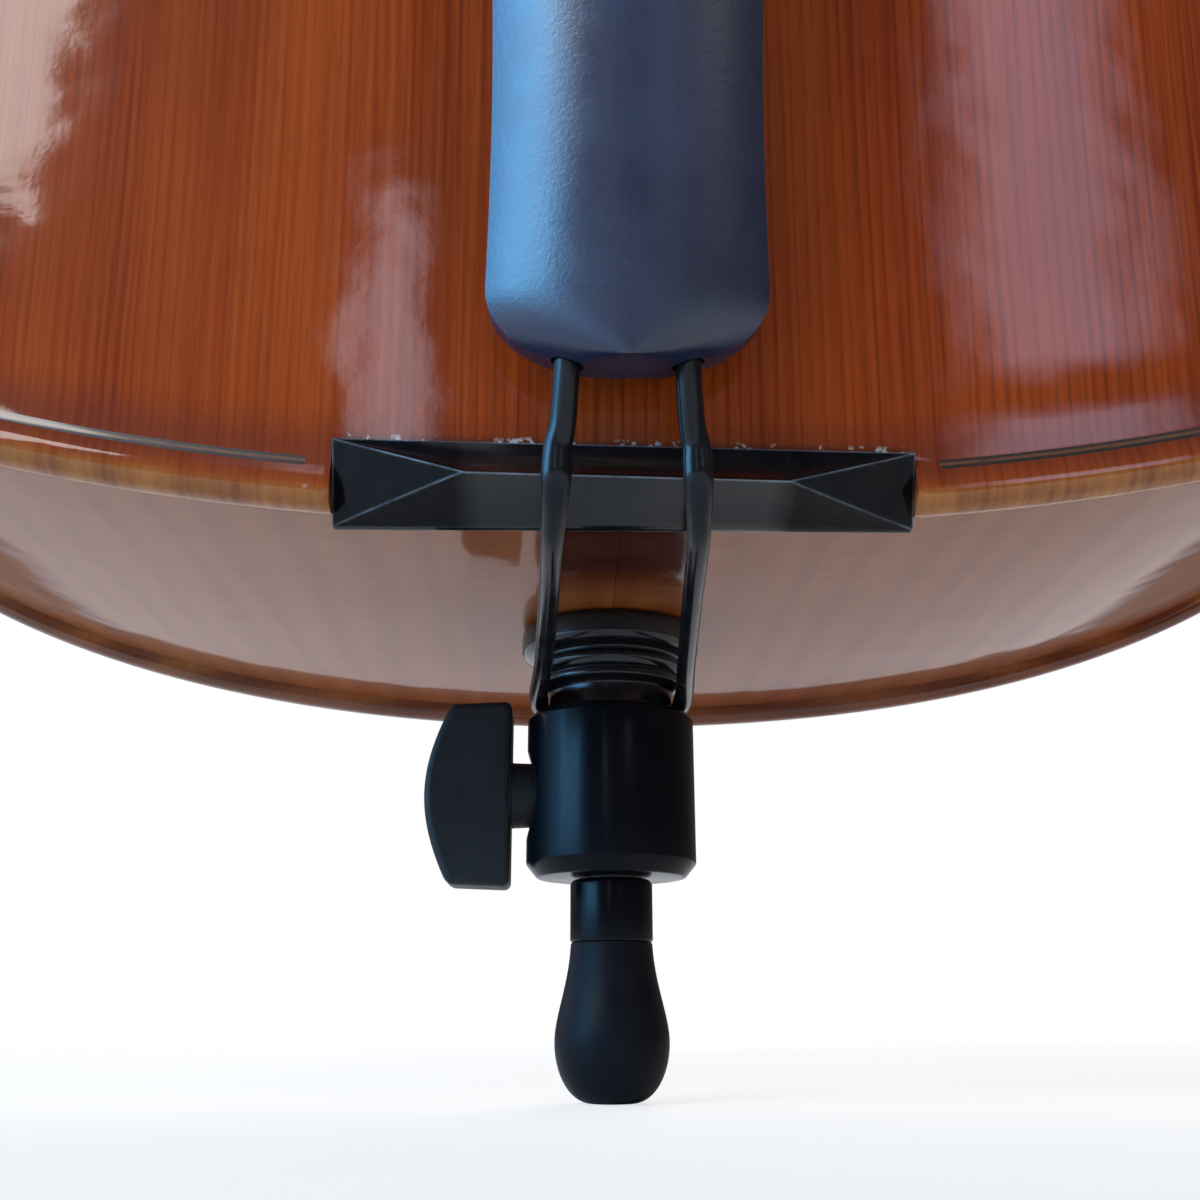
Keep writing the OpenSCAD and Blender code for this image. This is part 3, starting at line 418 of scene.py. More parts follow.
def plate_mesh(front):
    """Triangulation of a plate in (x, s), with every point's distance from the edge."""
    columns = np.arange(-LOWER_HALF, LOWER_HALF + 1, GRID)
    grid = np.array([[x + (GRID / 2 if row % 2 else 0), s]
                     for row, s in enumerate(np.arange(20, LENGTH, GRID)) for x in columns])
    distance, inside = edge_distance(grid, RING)
    parts = [RING] + [inset_points(inset) for inset in INSETS] + [grid[inside & (distance > 26)]]
    if front:
        cuts = loops = front_cuts()
    else:
        cuts, loops = [], [disc(0, BUTTON_S, BUTTON_R, 72)]
        parts += [disc(0, BUTTON_S, BUTTON_R - inset, 72) for inset in BUTTON_INSETS]
    points = list(np.concatenate(parts))
    edges = loop_edges(0, len(RING))
    for loop in loops:
        divided = []
        for a, b in zip(loop, np.roll(loop, -1, axis=0)):
            count = max(1, int(np.linalg.norm(b - a) / 2.6))
            divided += [a + (b - a) * t / count for t in range(count)]
        edges += loop_edges(len(points), len(divided))
        points += divided

    points, faces = triangulate(points, edges)
    centre = points[faces].mean(1)
    _, keep = edge_distance(centre, RING)
    if not front:
        keep |= np.hypot(centre[:, 0], centre[:, 1] - BUTTON_S) < BUTTON_R
    for opening in cuts:
        keep &= ~edge_distance(centre, opening)[1]
    used, faces = compact(len(points), faces[keep])
    points = points[used]
    distance, inside = edge_distance(points, RING)
    distance = np.where(inside | (distance < 1e-3), distance, -distance)
    if not front:
        to_rim = BUTTON_R - np.hypot(points[:, 0], points[:, 1] - BUTTON_S)
        distance = np.maximum(distance, np.where(points[:, 1] > LENGTH - 12, to_rim, -9))
    return points, faces, np.maximum(distance, 0)


def make_plate(name, material, side, arch):
    """A plate and its inlay, a strip of the same triangulation let into it."""
    front = side < 0
    points, faces, distance = plate_mesh(front)
    x, s = points.T
    outer = outer_height(distance, x, s, arch)
    inner = edge_drop(distance, INNER_EDGE_R) + arch * dome(x, s)

    def surface(height):
        return np.c_[x, side * (BACK_Y + height), BASE_Z + s]
    plate = shell(name, surface(outer), surface(inner), faces, material, 50,
                  {"edge_d": distance})

    strip = (distance[faces].min(1) > 5.3) & (distance[faces].max(1) < 6.8)
    if front:
        cx, cs = points[faces].mean(1).T
        strip &= ~((np.abs(cx) < SADDLE_HALF + 3) & (cs < 40))
        strip &= ~((np.abs(cx) < 26) & (cs > LENGTH - 40))
    used, strip_faces = compact(len(points), faces[strip])
    inlay = shell(name + "_inlay", surface(outer + 0.03)[used], surface(outer - 0.9)[used],
                  strip_faces, "purfling", 50, {"edge_d": distance[used]})
    piece(plate, name + "_plate")
    piece(inlay, "purfling_" + name)


# ------------------------------------------------------------------ node helpers
PRINCIPLED = {"colour": "Base Color", "rough": "Roughness", "normal": "Normal",
              "metal": "Metallic", "coat": "Coat Weight", "coat_rough": "Coat Roughness",
              "coat_normal": "Coat Normal", "specular": "Specular IOR Level",
              "sheen": "Sheen Weight"}


class Nodes:
    """Adds linked nodes to a shader tree with short calls."""

    def __init__(self, tree):
        self.tree = tree

    def put(self, socket, value):
        if isinstance(value, bpy.types.NodeSocket):
            self.tree.links.new(value, socket)
        else:
            socket.default_value = (*value, 1) if socket.type == "RGBA" else value

    def new(self, kind, inputs={}, output=0, **settings):
        node = self.tree.nodes.new("ShaderNode" + kind)
        for key, value in settings.items():
            setattr(node, key, value)
        for key, value in inputs.items():
            self.put(node.inputs[key], value)
        return node.outputs[output]

    def math(self, operation, a, b=0.0):
        return self.new("Math", {0: a, 1: b}, operation=operation)

    def times(self, a, b):
        return self.math("MULTIPLY", a, b)

    def remap(self, value, over, to=(0.0, 1.0), smooth=False):
        return self.new("MapRange", {0: value, 1: over[0], 2: over[1], 3: to[0], 4: to[1]},
                        interpolation_type="SMOOTHSTEP" if smooth else "LINEAR")

    def tint(self, base, layer, amount, strength=None):
        """Lays one colour over another by an amount, times the strength if there is one."""
        if strength is not None:
            amount = self.times(amount, strength)
        return self.new("Mix", {0: amount, 6: base, 7: layer}, output=2, data_type="RGBA")


class Material(Nodes):
    """A node material in object coordinates, which are in metres."""

    def __init__(self, name):
        material = MATERIALS[name] = bpy.data.materials.new(name)
        material.use_nodes = True
        super().__init__(material.node_tree)
        self.place = self.new("TexCoord", output="Object")

    def stretch(self, *scale, turn=(0, 0, 0)):
        return self.new("Mapping", {"Vector": self.place, "Scale": scale, "Rotation": turn})

    def noise(self, scale, vector=None, detail=3, rough=0.55, distortion=0.0):
        return self.new("TexNoise", {
            "Vector": vector or self.place, "Scale": scale, "Detail": detail,
            "Roughness": rough, "Distortion": distortion}, output="Fac")

    def wave(self, scale, vector=None, distortion=0, detail=2, detail_scale=1, along="Z",
             profile="SIN"):
        return self.new("TexWave", {
            "Vector": vector or self.place, "Scale": scale, "Distortion": distortion,
            "Detail": detail, "Detail Scale": detail_scale}, output="Fac",
            bands_direction=along, wave_profile=profile)

    def cells(self, scale, vector=None):
        return self.new("TexVoronoi", {"Vector": vector or self.place, "Scale": scale},
                        output="Distance")

    def ramp(self, value, stops, interpolation="LINEAR"):
        colour = self.new("ValToRGB", {0: value})
        scale = colour.node.color_ramp
        scale.interpolation = interpolation
        while len(scale.elements) < len(stops):
            scale.elements.new(0.5)
        for element, (position, stop) in zip(scale.elements, stops):
            element.position = position
            element.color = (stop, stop, stop, 1) if np.isscalar(stop) else (*stop, 1)
        return colour

    def attribute(self, name):
        return self.new("Attribute", output="Fac", attribute_name=name)

    def axis(self, letter):
        return self.new("SeparateXYZ", {0: self.place}, output=letter)

    def from_middle(self):
        return self.math("ABSOLUTE", self.axis("X"))

    def edges(self, size):
        """1 on convex edges, 0 elsewhere: the mask for worn edges, and on the saddle for a painted
        highlight.
        """
        soft = self.new("Bevel", {"Radius": size}, samples=4)
        true = self.new("NewGeometry", output="Normal")
        facing = self.new("VectorMath", {0: soft, 1: true}, output="Value",
                          operation="DOT_PRODUCT")
        return self.remap(facing, over=(0.995, 0.9))

    def bump(self, height, strength, distance, normal=None):
        inputs = {"Strength": strength, "Distance": distance, "Height": height}
        if normal is not None:
            inputs["Normal"] = normal
        return self.new("Bump", inputs)

    def varnish_normal(self, amount):
        """Slight hand-laid waviness of a varnish surface, with dust specks."""
        waves = self.noise(45, detail=2, rough=0.5)
        dust = self.noise(420, detail=2, rough=0.6)
        wavy = self.bump(waves, strength=0.35 * amount, distance=0.0009)
        return self.bump(dust, strength=0.10 * amount, distance=0.00008, normal=wavy)

    def finish(self, **values):
        shader = self.tree.nodes["Principled BSDF"]
        for key, value in values.items():
            self.put(shader.inputs[PRINCIPLED[key]], value)
        return shader.outputs[0]


def shaded(colour, factor):
    return tuple(x * factor for x in colour)


# ------------------------------------------------------------------ wood materials
def varnished_spruce():
    m = Material("varnished_spruce")
    bands = m.noise(60, m.stretch(1, 0.05, 0.03), detail=2)
    wobble = m.noise(22, m.stretch(1, 0.2, 0.10))
    lines = m.wave(186, m.stretch(1, 0, 0.010), distortion=5.5, detail=4, detail_scale=2.6,
                   along="X", profile="SAW")
    fine = m.noise(1400, m.stretch(1, 0.1, 0.012), rough=0.6)
    pores = m.noise(2600, m.stretch(1, 0.2, 0.03), detail=2, rough=0.7)
    wood = m.ramp(bands, [(0.3, (0.160, 0.0165, 0.0026)), (0.5, (0.250, 0.0310, 0.0040)),
                          (0.7, (0.335, 0.0520, 0.0062))])
    wood = m.tint(wood, (0.085, 0.0115, 0.0028),
                  amount=m.ramp(lines, [(0.45, 0.0), (0.86, 0.62), (1.0, 0.12)]),
                  strength=m.remap(wobble, over=(0.3, 0.7), to=(0.35, 1.0)))
    wood = m.tint(wood, (0.40, 0.070, 0.010), amount=m.remap(fine, over=(0.42, 0.72)),
                  strength=0.55)
    wood = m.tint(wood, (0.05, 0.010, 0.003), amount=m.remap(pores, over=(0.62, 0.8)),
                  strength=0.55)
    # darker red-brown patches where the varnish is thicker
    patches = m.noise(14, m.stretch(1, 0.3, 0.55))
    wood = m.tint(wood, (0.110, 0.0145, 0.0040), amount=m.remap(patches, over=(0.45, 0.75)),
                  strength=0.6)
    # the edge: worn amber bead, dark line of the channel (edge_d is in millimetres)
    edge = m.attribute("edge_d")
    ticks = m.noise(260, m.stretch(1, 0.15, 0.1), rough=0.7)
    amber = m.tint((0.36, 0.13, 0.026), (0.16, 0.045, 0.010),
                   amount=m.remap(ticks, over=(0.4, 0.7)))
    wood = m.tint(wood, amber, amount=m.ramp(
        m.remap(edge, over=(0, 10)), [(0.0, 0.92), (0.16, 0.75), (0.30, 0.12), (0.55, 0.0)]))
    wood = m.tint(wood, (0.085, 0.016, 0.010), amount=m.ramp(
        m.remap(edge, over=(2, 14)), [(0.0, 0.0), (0.25, 0.55), (0.55, 0.5), (1.0, 0.0)]))
    grain = m.bump(lines, strength=0.10, distance=0.00012)
    normal = m.bump(fine, strength=0.10, distance=0.00008, normal=grain)
    # dried glue along the saddle's joint, which tilts slightly across the plate
    joint_height, joint_tilt = 0.0833, 0.02
    tilted = m.math("ADD", m.axis("Z"), m.times(m.axis("X"), joint_tilt))
    gap = m.math("ABSOLUTE", m.math("SUBTRACT", tilted, joint_height))
    joint = m.times(m.remap(gap, over=(0.0002, 0.0009), to=(1, 0)),
                    m.remap(m.from_middle(), over=(0.0376, 0.0366), to=(0, 1)))
    wood = m.tint(wood, (0.62, 0.58, 0.52), amount=joint,
                  strength=m.remap(m.noise(720), over=(0.56, 0.62)))
    wood = m.tint(wood, (0.03, 0.010, 0.005), amount=joint, strength=0.45)
    wood = m.tint(wood, (0.62, 0.33, 0.13),
                  amount=m.remap(m.cells(900), over=(0.0, 0.10), to=(1, 0)),
                  strength=m.remap(patches, over=(0.5, 0.7), to=(0.25, 0.0)))
    m.finish(colour=wood, rough=0.45, normal=normal, coat=0.75,
             coat_rough=m.remap(patches, over=(0.2, 0.8), to=(0.03, 0.08)),
             coat_normal=m.varnish_normal(0.8), specular=0.03)


def flames(m, vector, scale, dark, middle, light):
    """Bands of flamed maple, crossing the Z axis of the vector."""
    bands = m.wave(scale, vector, distortion=6.5, detail=4, detail_scale=1.7)
    blur = m.noise(scale * 5.0, vector, rough=0.6, distortion=0.6)
    figure = m.math("ADD", m.times(bands, 0.65), m.times(blur, 0.55))
    return m.ramp(figure, [(0.2, dark), (0.5, middle), (0.85, light)])


def maple_pores(m, wood, vector):
    """Adds fine pores and thicker patches of varnish."""
    pores = m.noise(1500, vector, rough=0.65)
    wood = m.tint(wood, (0.07, 0.012, 0.0035), amount=m.remap(pores, over=(0.5, 0.78)),
                  strength=0.5)
    wood = m.tint(wood, (0.12, 0.018, 0.0045), strength=0.5,
                  amount=m.remap(m.noise(9, detail=2), over=(0.45, 0.8)))
    return wood, m.bump(pores, strength=0.07, distance=0.00006)


def maple_finish(m, wood, normal, coat):
    m.finish(colour=wood, rough=0.45, normal=normal, coat=coat, coat_rough=0.06,
             coat_normal=m.varnish_normal(0.7), specular=0.05)


def varnished_maple():
    """The back plate: flames slope away from the middle joint."""
    m = Material("varnished_maple")
    x = m.from_middle()
    slope = m.math("ADD", m.axis("Z"), m.times(x, 0.18))
    vector = m.new("CombineXYZ", {0: m.times(x, 0.16), 1: m.times(m.axis("Y"), 0.3), 2: slope})
    wood = flames(m, vector, 26, dark=(0.125, 0.024, 0.0058), middle=(0.215, 0.048, 0.0100),
                  light=(0.33, 0.090, 0.0175))
    wood, normal = maple_pores(m, wood, m.stretch(1, 0.3, 0.03))
    wood = m.tint(wood, (0.10, 0.028, 0.009), amount=m.ramp(
        m.remap(m.attribute("edge_d"), over=(0, 9)), [(0.0, 0.85), (0.25, 0.4), (0.6, 0.0)]))
    maple_finish(m, wood, normal, coat=0.85)


def rib_maple():
    """The ribs: the pattern follows "run", the distance along the bend in metres."""
    m = Material("rib_maple")
    vector = m.new("CombineXYZ", {0: m.times(m.axis("Y"), 0.12), 2: m.attribute("run")})
    lengthwise = m.new("CombineXYZ", {0: m.times(m.attribute("run"), 0.03), 1: m.axis("Y")})
    wood = flames(m, vector, 34, dark=(0.200, 0.050, 0.0110), middle=(0.218, 0.058, 0.0130),
                  light=(0.235, 0.066, 0.0150))
    # painted shade: a dark red patch on the ribs under the saddle, between the strands of the
    # tailgut
    between = m.times(m.remap(m.from_middle(), over=(0.0098, 0.0122), to=(1, 0)),
                      m.remap(m.axis("Y"), over=(-0.020, -0.034), to=(0, 1)))
    between = m.times(between, m.remap(m.axis("Z"), over=(0.079, 0.081), to=(1, 0)))
    wood = m.tint(wood, (0.026, 0.0028, 0.0020), amount=between, strength=0.9)
    wood, normal = maple_pores(m, wood, lengthwise)
    maple_finish(m, wood, normal, coat=0.55)


def purfling():
    """Three strips, dark, light and dark, between two distances from the edge."""
    m = Material("purfling")
    dark, light = (0.016, 0.008, 0.006), (0.115, 0.038, 0.012)
    strips = m.ramp(m.remap(m.attribute("edge_d"), over=(5.4, 6.7)),
                    [(0.0, dark), (0.30, dark), (0.36, light), (0.64, light), (0.70, dark)],
                    "CONSTANT")
    grain = m.noise(700)
    m.finish(colour=m.tint(strips, (0.05, 0.016, 0.009), amount=m.remap(grain, over=(0.5, 0.8))),
             rough=0.4, normal=m.bump(grain, strength=0.2, distance=0.0001),
             coat=0.8, coat_rough=0.07)


def raw_softwood():
    m = Material("raw_softwood")
    lines = m.wave(150, m.stretch(1, 0.4, 0.02), distortion=2, along="X", profile="SAW")
    grain = m.noise(900, m.stretch(1, 1, 0.05))
    wood = m.tint((0.62, 0.43, 0.24), (0.42, 0.25, 0.11), amount=lines, strength=0.5)
    wood = m.tint(wood, (0.5, 0.33, 0.17), amount=m.remap(grain, over=(0.45, 0.8)))
    m.finish(colour=wood, rough=0.65, normal=m.bump(grain, strength=0.3, distance=0.0001))


def ebony():
    m = Material("ebony")
    streaks = m.noise(500, m.stretch(1, 1, 0.03), detail=4, rough=0.6)
    smudge = m.noise(160)
    wear_and_highlight = m.edges(0.0005)
    wood = m.ramp(streaks, [(0.35, (0.0030, 0.0030, 0.0036)), (0.62, (0.0060, 0.0055, 0.0058)),
                            (0.8, (0.017, 0.012, 0.009))])
    wood = m.tint(wood, (0.05, 0.042, 0.036), amount=wear_and_highlight, strength=0.4)
    # the saddle's front is burnished by the cord, its sloping ends are plain
    low = m.remap(m.axis("Z"), over=(0.095, 0.100), to=(1, 0))
    burnish = m.remap(m.from_middle(), over=(0.0180, 0.0215), to=(0.27, 0.015))
    elsewhere = 0.14
    specular = m.math("ADD", m.times(low, burnish),
                      m.times(m.math("SUBTRACT", 1.0, low), elsewhere))
    # painted highlight: bluish light lines along the edges of the saddle's front and sloping ends
    wood = m.tint(wood, (0.24, 0.29, 0.34), amount=m.times(wear_and_highlight, low),
                  strength=m.remap(smudge, over=(0.4, 0.6), to=(0.25, 0.75)))
    soft = m.bump(smudge, strength=0.12, distance=0.0003)
    m.finish(colour=wood, rough=m.remap(smudge, over=(0.3, 0.7), to=(0.12, 0.24)),
             normal=m.bump(streaks, strength=0.12, distance=0.00005, normal=soft),
             coat=0.18, coat_rough=0.03, specular=specular)


def bridge_maple():
    m = Material("bridge_maple")
    grain = m.noise(420, m.stretch(0.1, 0.35, 1))
    flecks = m.cells(900, m.stretch(0.35, 1, 1))
    wood = m.ramp(grain, [(0.3, (0.42, 0.24, 0.10)), (0.6, (0.56, 0.36, 0.17)),
                          (0.85, (0.64, 0.44, 0.23))])
    wood = m.tint(wood, (0.30, 0.15, 0.06), strength=0.35,
                  amount=m.remap(flecks, over=(0.0, 0.35), to=(1, 0)))
    wood = m.tint(wood, (0.26, 0.13, 0.05), amount=m.edges(0.0008), strength=0.5)
    m.finish(colour=wood, rough=0.42, normal=m.bump(grain, strength=0.25, distance=0.0001),
             coat=0.15, coat_rough=0.25)


def varnished_maple_neck():
    """Varnished at the root, the pegbox and the scroll. The shaft is rubbed smooth and paler."""
    m = Material("varnished_maple_neck")
    vector = m.new("CombineXYZ", {0: m.times(m.axis("X"), 0.2), 1: m.times(m.axis("Y"), 0.25),
                                  2: m.axis("Z")})
    wood = flames(m, vector, 26, dark=(0.125, 0.024, 0.0058), middle=(0.205, 0.046, 0.0098),
                  light=(0.31, 0.084, 0.0165))
    pale = flames(m, vector, 26, dark=(0.30, 0.13, 0.045), middle=(0.40, 0.20, 0.075),
                  light=(0.50, 0.27, 0.11))
    height = m.math("ADD", m.axis("Z"), m.times(m.noise(40), 0.012))
    shaft = m.times(m.remap(height, over=(0.905, 0.935)), m.remap(height, over=(1.115, 1.092)))
    wood = m.tint(wood, pale, amount=shaft)
    pores = m.noise(1400, m.stretch(1, 1, 0.04), rough=0.65)
    wood = m.tint(wood, (0.07, 0.014, 0.004), amount=m.remap(pores, over=(0.5, 0.8)),
                  strength=0.45)
    wood = m.tint(wood, (0.045, 0.016, 0.007), amount=m.edges(0.0009), strength=0.55)
    m.finish(colour=wood, rough=0.4, normal=m.bump(pores, strength=0.08, distance=0.00006),
             coat=m.remap(shaft, over=(0, 1), to=(0.9, 0.12)), coat_rough=0.07,
             coat_normal=m.varnish_normal(0.6), specular=0.15)


# ------------------------------------------------------------------ other materials
def black(name, base, rough, texture, bump, edge, speck=0.0, coat=0.0,
          worn=(0.09, 0.09, 0.095), depth=0.00008, specular=0.5):
    """Black plastic, rubber or paint: texture is its noise scale, speck its specks and
    scratches, edge how worn its edges look."""
    m = Material(name)
    grit = m.noise(texture, detail=4, rough=0.65)
    smudge = m.noise(90, detail=4, rough=0.6)
    colour = m.tint(base, shaded(base, 1.55), amount=m.remap(smudge, over=(0.35, 0.75)))
    if speck:
        colour = m.tint(colour, worn, strength=speck,
                        amount=m.remap(m.cells(420), over=(0.0, 0.07), to=(1, 0)))
        scratches = m.noise(300, m.stretch(1, 1, 0.02, turn=(0.4, 0.2, 0.9)), detail=2, rough=0.5)
        colour = m.tint(colour, worn, strength=speck * 0.6,
                        amount=m.remap(scratches, over=(0.70, 0.76)))
    colour = m.tint(colour, worn, amount=m.edges(0.0006), strength=edge)
    m.finish(colour=colour, normal=m.bump(grit, strength=bump, distance=depth),
             rough=m.remap(smudge, over=(0.3, 0.75), to=(rough * 0.82, rough * 1.22)),
             coat=coat, coat_rough=rough * 0.6, specular=specular)


def bare_metal(name, base, rough):
    m = Material(name)
    brushed = m.noise(2200, m.stretch(1, 1, 0.04), rough=0.6)
    colour = m.tint(base, shaded(base, 0.72), amount=m.remap(brushed, over=(0.35, 0.75)))
    colour = m.tint(colour, shaded(base, 0.45), strength=0.4,
                    amount=m.remap(m.noise(120), over=(0.55, 0.8)))
    m.finish(colour=colour, metal=1.0, normal=m.bump(brushed, strength=0.15, distance=0.00003),
             rough=m.remap(brushed, over=(0.3, 0.7), to=(rough * 0.8, rough * 1.3)))


def string_winding():
    """Metal winding, with silk at the lower and upper ends."""
    m = Material("string_winding")
    winding = m.wave(1050, detail=0)
    z = m.axis("Z")
    silk = m.math("MAXIMUM", m.remap(z, over=(0.345, 0.348), to=(1, 0)),
                  m.remap(z, over=(1.098, 1.101), to=(0, 1)))
    colour = m.tint((0.62, 0.62, 0.635), (0.20, 0.022, 0.05), amount=silk)
    threads = m.noise(3500, m.stretch(1, 1, 0.3), detail=2)
    colour = m.tint(colour, (0.12, 0.10, 0.11), amount=m.remap(threads, over=(0.4, 0.7)),
                    strength=0.35)
    m.finish(colour=colour, rough=m.remap(silk, over=(0, 1), to=(0.22, 0.75)),
             normal=m.bump(winding, strength=0.35, distance=0.00006),
             metal=m.remap(silk, over=(0, 1), to=(1, 0)))


def string_silk():
    m = Material("string_silk")
    winding = m.wave(1500, distortion=0.4, detail_scale=2)
    colour = m.tint((0.20, 0.022, 0.05), (0.10, 0.012, 0.028),
                    amount=m.remap(m.noise(2500), over=(0.3, 0.7)))
    m.finish(colour=colour, rough=0.7, sheen=0.4,
             normal=m.bump(winding, strength=0.5, distance=0.0001))


def gut_cord():
    m = Material("gut_cord")
    fibres = m.noise(260, m.stretch(1, 1, 0.15))
    m.finish(colour=m.tint((0.0035, 0.0038, 0.0052), (0.0090, 0.0095, 0.0125),
                           amount=m.remap(fibres, over=(0.4, 0.8))),
             rough=m.remap(fibres, over=(0.3, 0.7), to=(0.16, 0.28)),
             normal=m.bump(fibres, strength=0.12, distance=0.00012),
             coat=0.12, coat_rough=0.1, specular=0.22)


for make_material in (varnished_spruce, varnished_maple, rib_maple, purfling, raw_softwood, ebony,
                      bridge_maple):
    make_material()
# the tailpiece is black; the strong blue in its base colour is a painted reflection of the cool
# window light
black("tailpiece_black", (0.0046, 0.0110, 0.0330), rough=0.34, texture=1500, bump=0.34, edge=0.25,
      speck=0.30, worn=(0.07, 0.075, 0.085), depth=0.00014, specular=0.75)
black("plug_black", (0.006, 0.0055, 0.006), rough=0.18, texture=500, bump=0.05, edge=0.35,
      coat=0.2, specular=0.35)
black("collar_black", (0.0022, 0.0026, 0.0040), rough=0.22, texture=700, bump=0.05, edge=0.20,
      speck=0.06, coat=0.03, specular=0.09)
black("knob_black", (0.0080, 0.0082, 0.0088), rough=0.50, texture=1600, bump=0.25, edge=0.25,
      speck=0.05, specular=0.22)
black("rod_black", (0.010, 0.010, 0.011), rough=0.24, texture=400, bump=0.04, edge=0.2,
      speck=0.12, coat=0.3)
black("tip_rubber", (0.0045, 0.0052, 0.0072), rough=0.46, texture=1300, bump=0.2, edge=0.05,
      speck=0.14, worn=(0.040, 0.040, 0.043), specular=0.07)
black("tuner_black", (0.010, 0.010, 0.011), rough=0.28, texture=900, bump=0.05, edge=0.45)
bare_metal("steel", (0.55, 0.55, 0.56), rough=0.28)
bare_metal("brass", (0.62, 0.42, 0.16), rough=0.25)
for make_material in (string_winding, string_silk, varnished_maple_neck, gut_cord):
    make_material()

# ------------------------------------------------------------------ putting pieces in place
BODY_OF = {node: body for body, nodes in frame["record"]["behaviour"]["bodies"].items()
           for node in nodes}
SLOT_OF = {part["node"]: part["material_slot"] for part in frame["record"]["subparts"]}


def piece(ob, node):
    """Shows ob in place of a CAD node; it moves with that node's body."""
    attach(ob, BODY_OF[node])
    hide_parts(node)


def extra(ob, body):
    """A piece with no CAD node named as its own."""
    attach(ob, body)


def cut(ob, cutters, angle):
    """Subtracts the cutters, then keeps edges sharper than the angle crisp."""
    for cutter in cutters:
        modifier = ob.modifiers.new("cut", "BOOLEAN")
        modifier.object = cutter
        modifier.operation = "DIFFERENCE"
        modifier.solver = "EXACT"
    bpy.context.view_layer.update()
    evaluated = ob.evaluated_get(bpy.context.evaluated_depsgraph_get())
    mesh = bpy.data.meshes.new_from_object(evaluated)
    material = ob.data.materials[0]
    ob.modifiers.clear()
    ob.data = mesh
    mesh.materials.clear()
    mesh.materials.append(material)
    mesh.polygons.foreach_set("material_index", [0] * len(mesh.polygons))
    for cutter in cutters:
        bpy.data.objects.remove(cutter)
    shade_smooth(mesh)
    sharp(ob, angle)


def prism(name, outline, low, high, place, material=None):
    """A flat shape extruded from low to high. place(a, b, height) gives a point."""
    n = len(outline)
    points = [place(a, b, height) for height in (low, high) for a, b in outline]
    faces = [tuple(range(n)), tuple(range(n, 2 * n))[::-1]]
    faces += [(k, (k + 1) % n, n + (k + 1) % n, n + k) for k in range(n)]
    return add(name, points, faces, material)


def rod_cutter(start, end, radius, sides):
    start, end = np.array(start, float), np.array(end, float)
    return lathe("cutter", [(radius, 0), (radius, np.linalg.norm(end - start))], None,
                 start, tuple(end - start), sides)


make_plate("top", "varnished_spruce", -1, ARCH_FRONT)
make_plate("back", "varnished_maple", 1, ARCH_BACK)


# ------------------------------------------------------------------ ribs
def offset_half(inset):
    points = HALF + left_normals(np.gradient(HALF, axis=0)) * inset
    distance, inside = edge_distance(points, RING)
    keep = (distance > inset * 0.985) & inside & (points[:, 0] > 0.5)
    return np.concatenate([[[0.0, inset]], points[keep], [[0.0, LENGTH - inset]]])


RIB_OUTER, RIB_INNER = offset_half(OVERHANG), offset_half(OVERHANG + 2.0)
LOWER_END, UPPER_START = 303.4, 522.4        # heights over the base where the ribs meet
PLUG_HOLE_R = 11.7


def section(curve, low, high):
    """The part of a half outline between two heights, cut exactly there."""
    def crossing(i, height):
        a, b = curve[i - 1], curve[i]
        return [a + (b - a) * ((height - a[1]) / (b[1] - a[1]))]
    first = 0 if low is None else int(np.argmax(curve[:, 1] > low))
    last = len(curve) if high is None else int(np.argmax(curve[:, 1] > high))
    out = curve[first:last]
    if low is not None:
        out = np.concatenate([crossing(first, low), out])
    if high is not None:
        out = np.concatenate([out, crossing(last, high)])
    return out


def rib(name, low, high, mirrored, hole_r):
    """One bent rib, laid out flat as (fraction of its length, y)."""
    outer, inner = section(RIB_OUTER, low, high), section(RIB_INNER, low, high)
    length = distance_along(outer)[-1]
    count = int(length / 3.0)
    fractions = np.linspace(0, 1, count + 1)
    flat, faces, start = [], [], 0
    if hole_r:                               # patch around half of the plug's hole
        start = int(np.argmax(fractions * length > 18.0))
        reach, seam = fractions[start] * length, 0.03
        loop = [(seam, FRONT_Y), (reach, FRONT_Y), (reach, BACK_Y), (seam, BACK_Y)]
        loop += [(max(seam, hole_r * math.cos(t)), hole_r * math.sin(t))
                 for t in np.linspace(-math.pi / 2, math.pi / 2, 33)[::-1]]
        patch, patch_faces = triangulate(loop, loop_edges(0, len(loop)), mode=1)
        flat = [(x / length, y) for x, y in patch]
        faces = patch_faces.tolist()
    base = len(flat)
    for fraction in fractions[start:]:
        flat += [(fraction, FRONT_Y), (fraction, BACK_Y)]
    faces += [(base + 2 * k, base + 2 * k + 2, base + 2 * k + 3, base + 2 * k + 1)
              for k in range(count - start)]
    if hole_r:                               # weld the patch to the strip
        seen = {}
        weld = [seen.setdefault((round(x * 1e5), round(y * 1e3)), i)
                for i, (x, y) in enumerate(flat)]
        used = sorted({weld[i] for face in faces for i in face})
        renumber = {old: new for new, old in enumerate(used)}
        faces = [tuple(renumber[weld[i]] for i in face) for face in faces]
        flat = [flat[i] for i in used]
    flat = np.array(flat)

    def surface(curve):
        spot = at_distance(curve, flat[:, 0] * distance_along(curve)[-1])
        return np.c_[(-1 if mirrored else 1) * spot[:, 0], flat[:, 1], BASE_Z + spot[:, 1]]
    run = (flat[:, 0] * length + (low or 0) * 1.3) * MM + (0.7 if mirrored else 0.0)
    return shell(name, surface(outer), surface(inner), faces, "rib_maple",
                 attributes={"run": run})


for part, low, high, hole_r in (("lower", None, LOWER_END, PLUG_HOLE_R),
                                ("centre", LOWER_END, UPPER_START, None),
                                ("upper", UPPER_START, None, None)):
    for mirrored in (False, True):
        strip = rib(part + ("_rib_b" if mirrored else "_rib_t"), low, high, mirrored, hole_r)
        extra(strip, "body")
        if not mirrored:
            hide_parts(part + "_ribs")

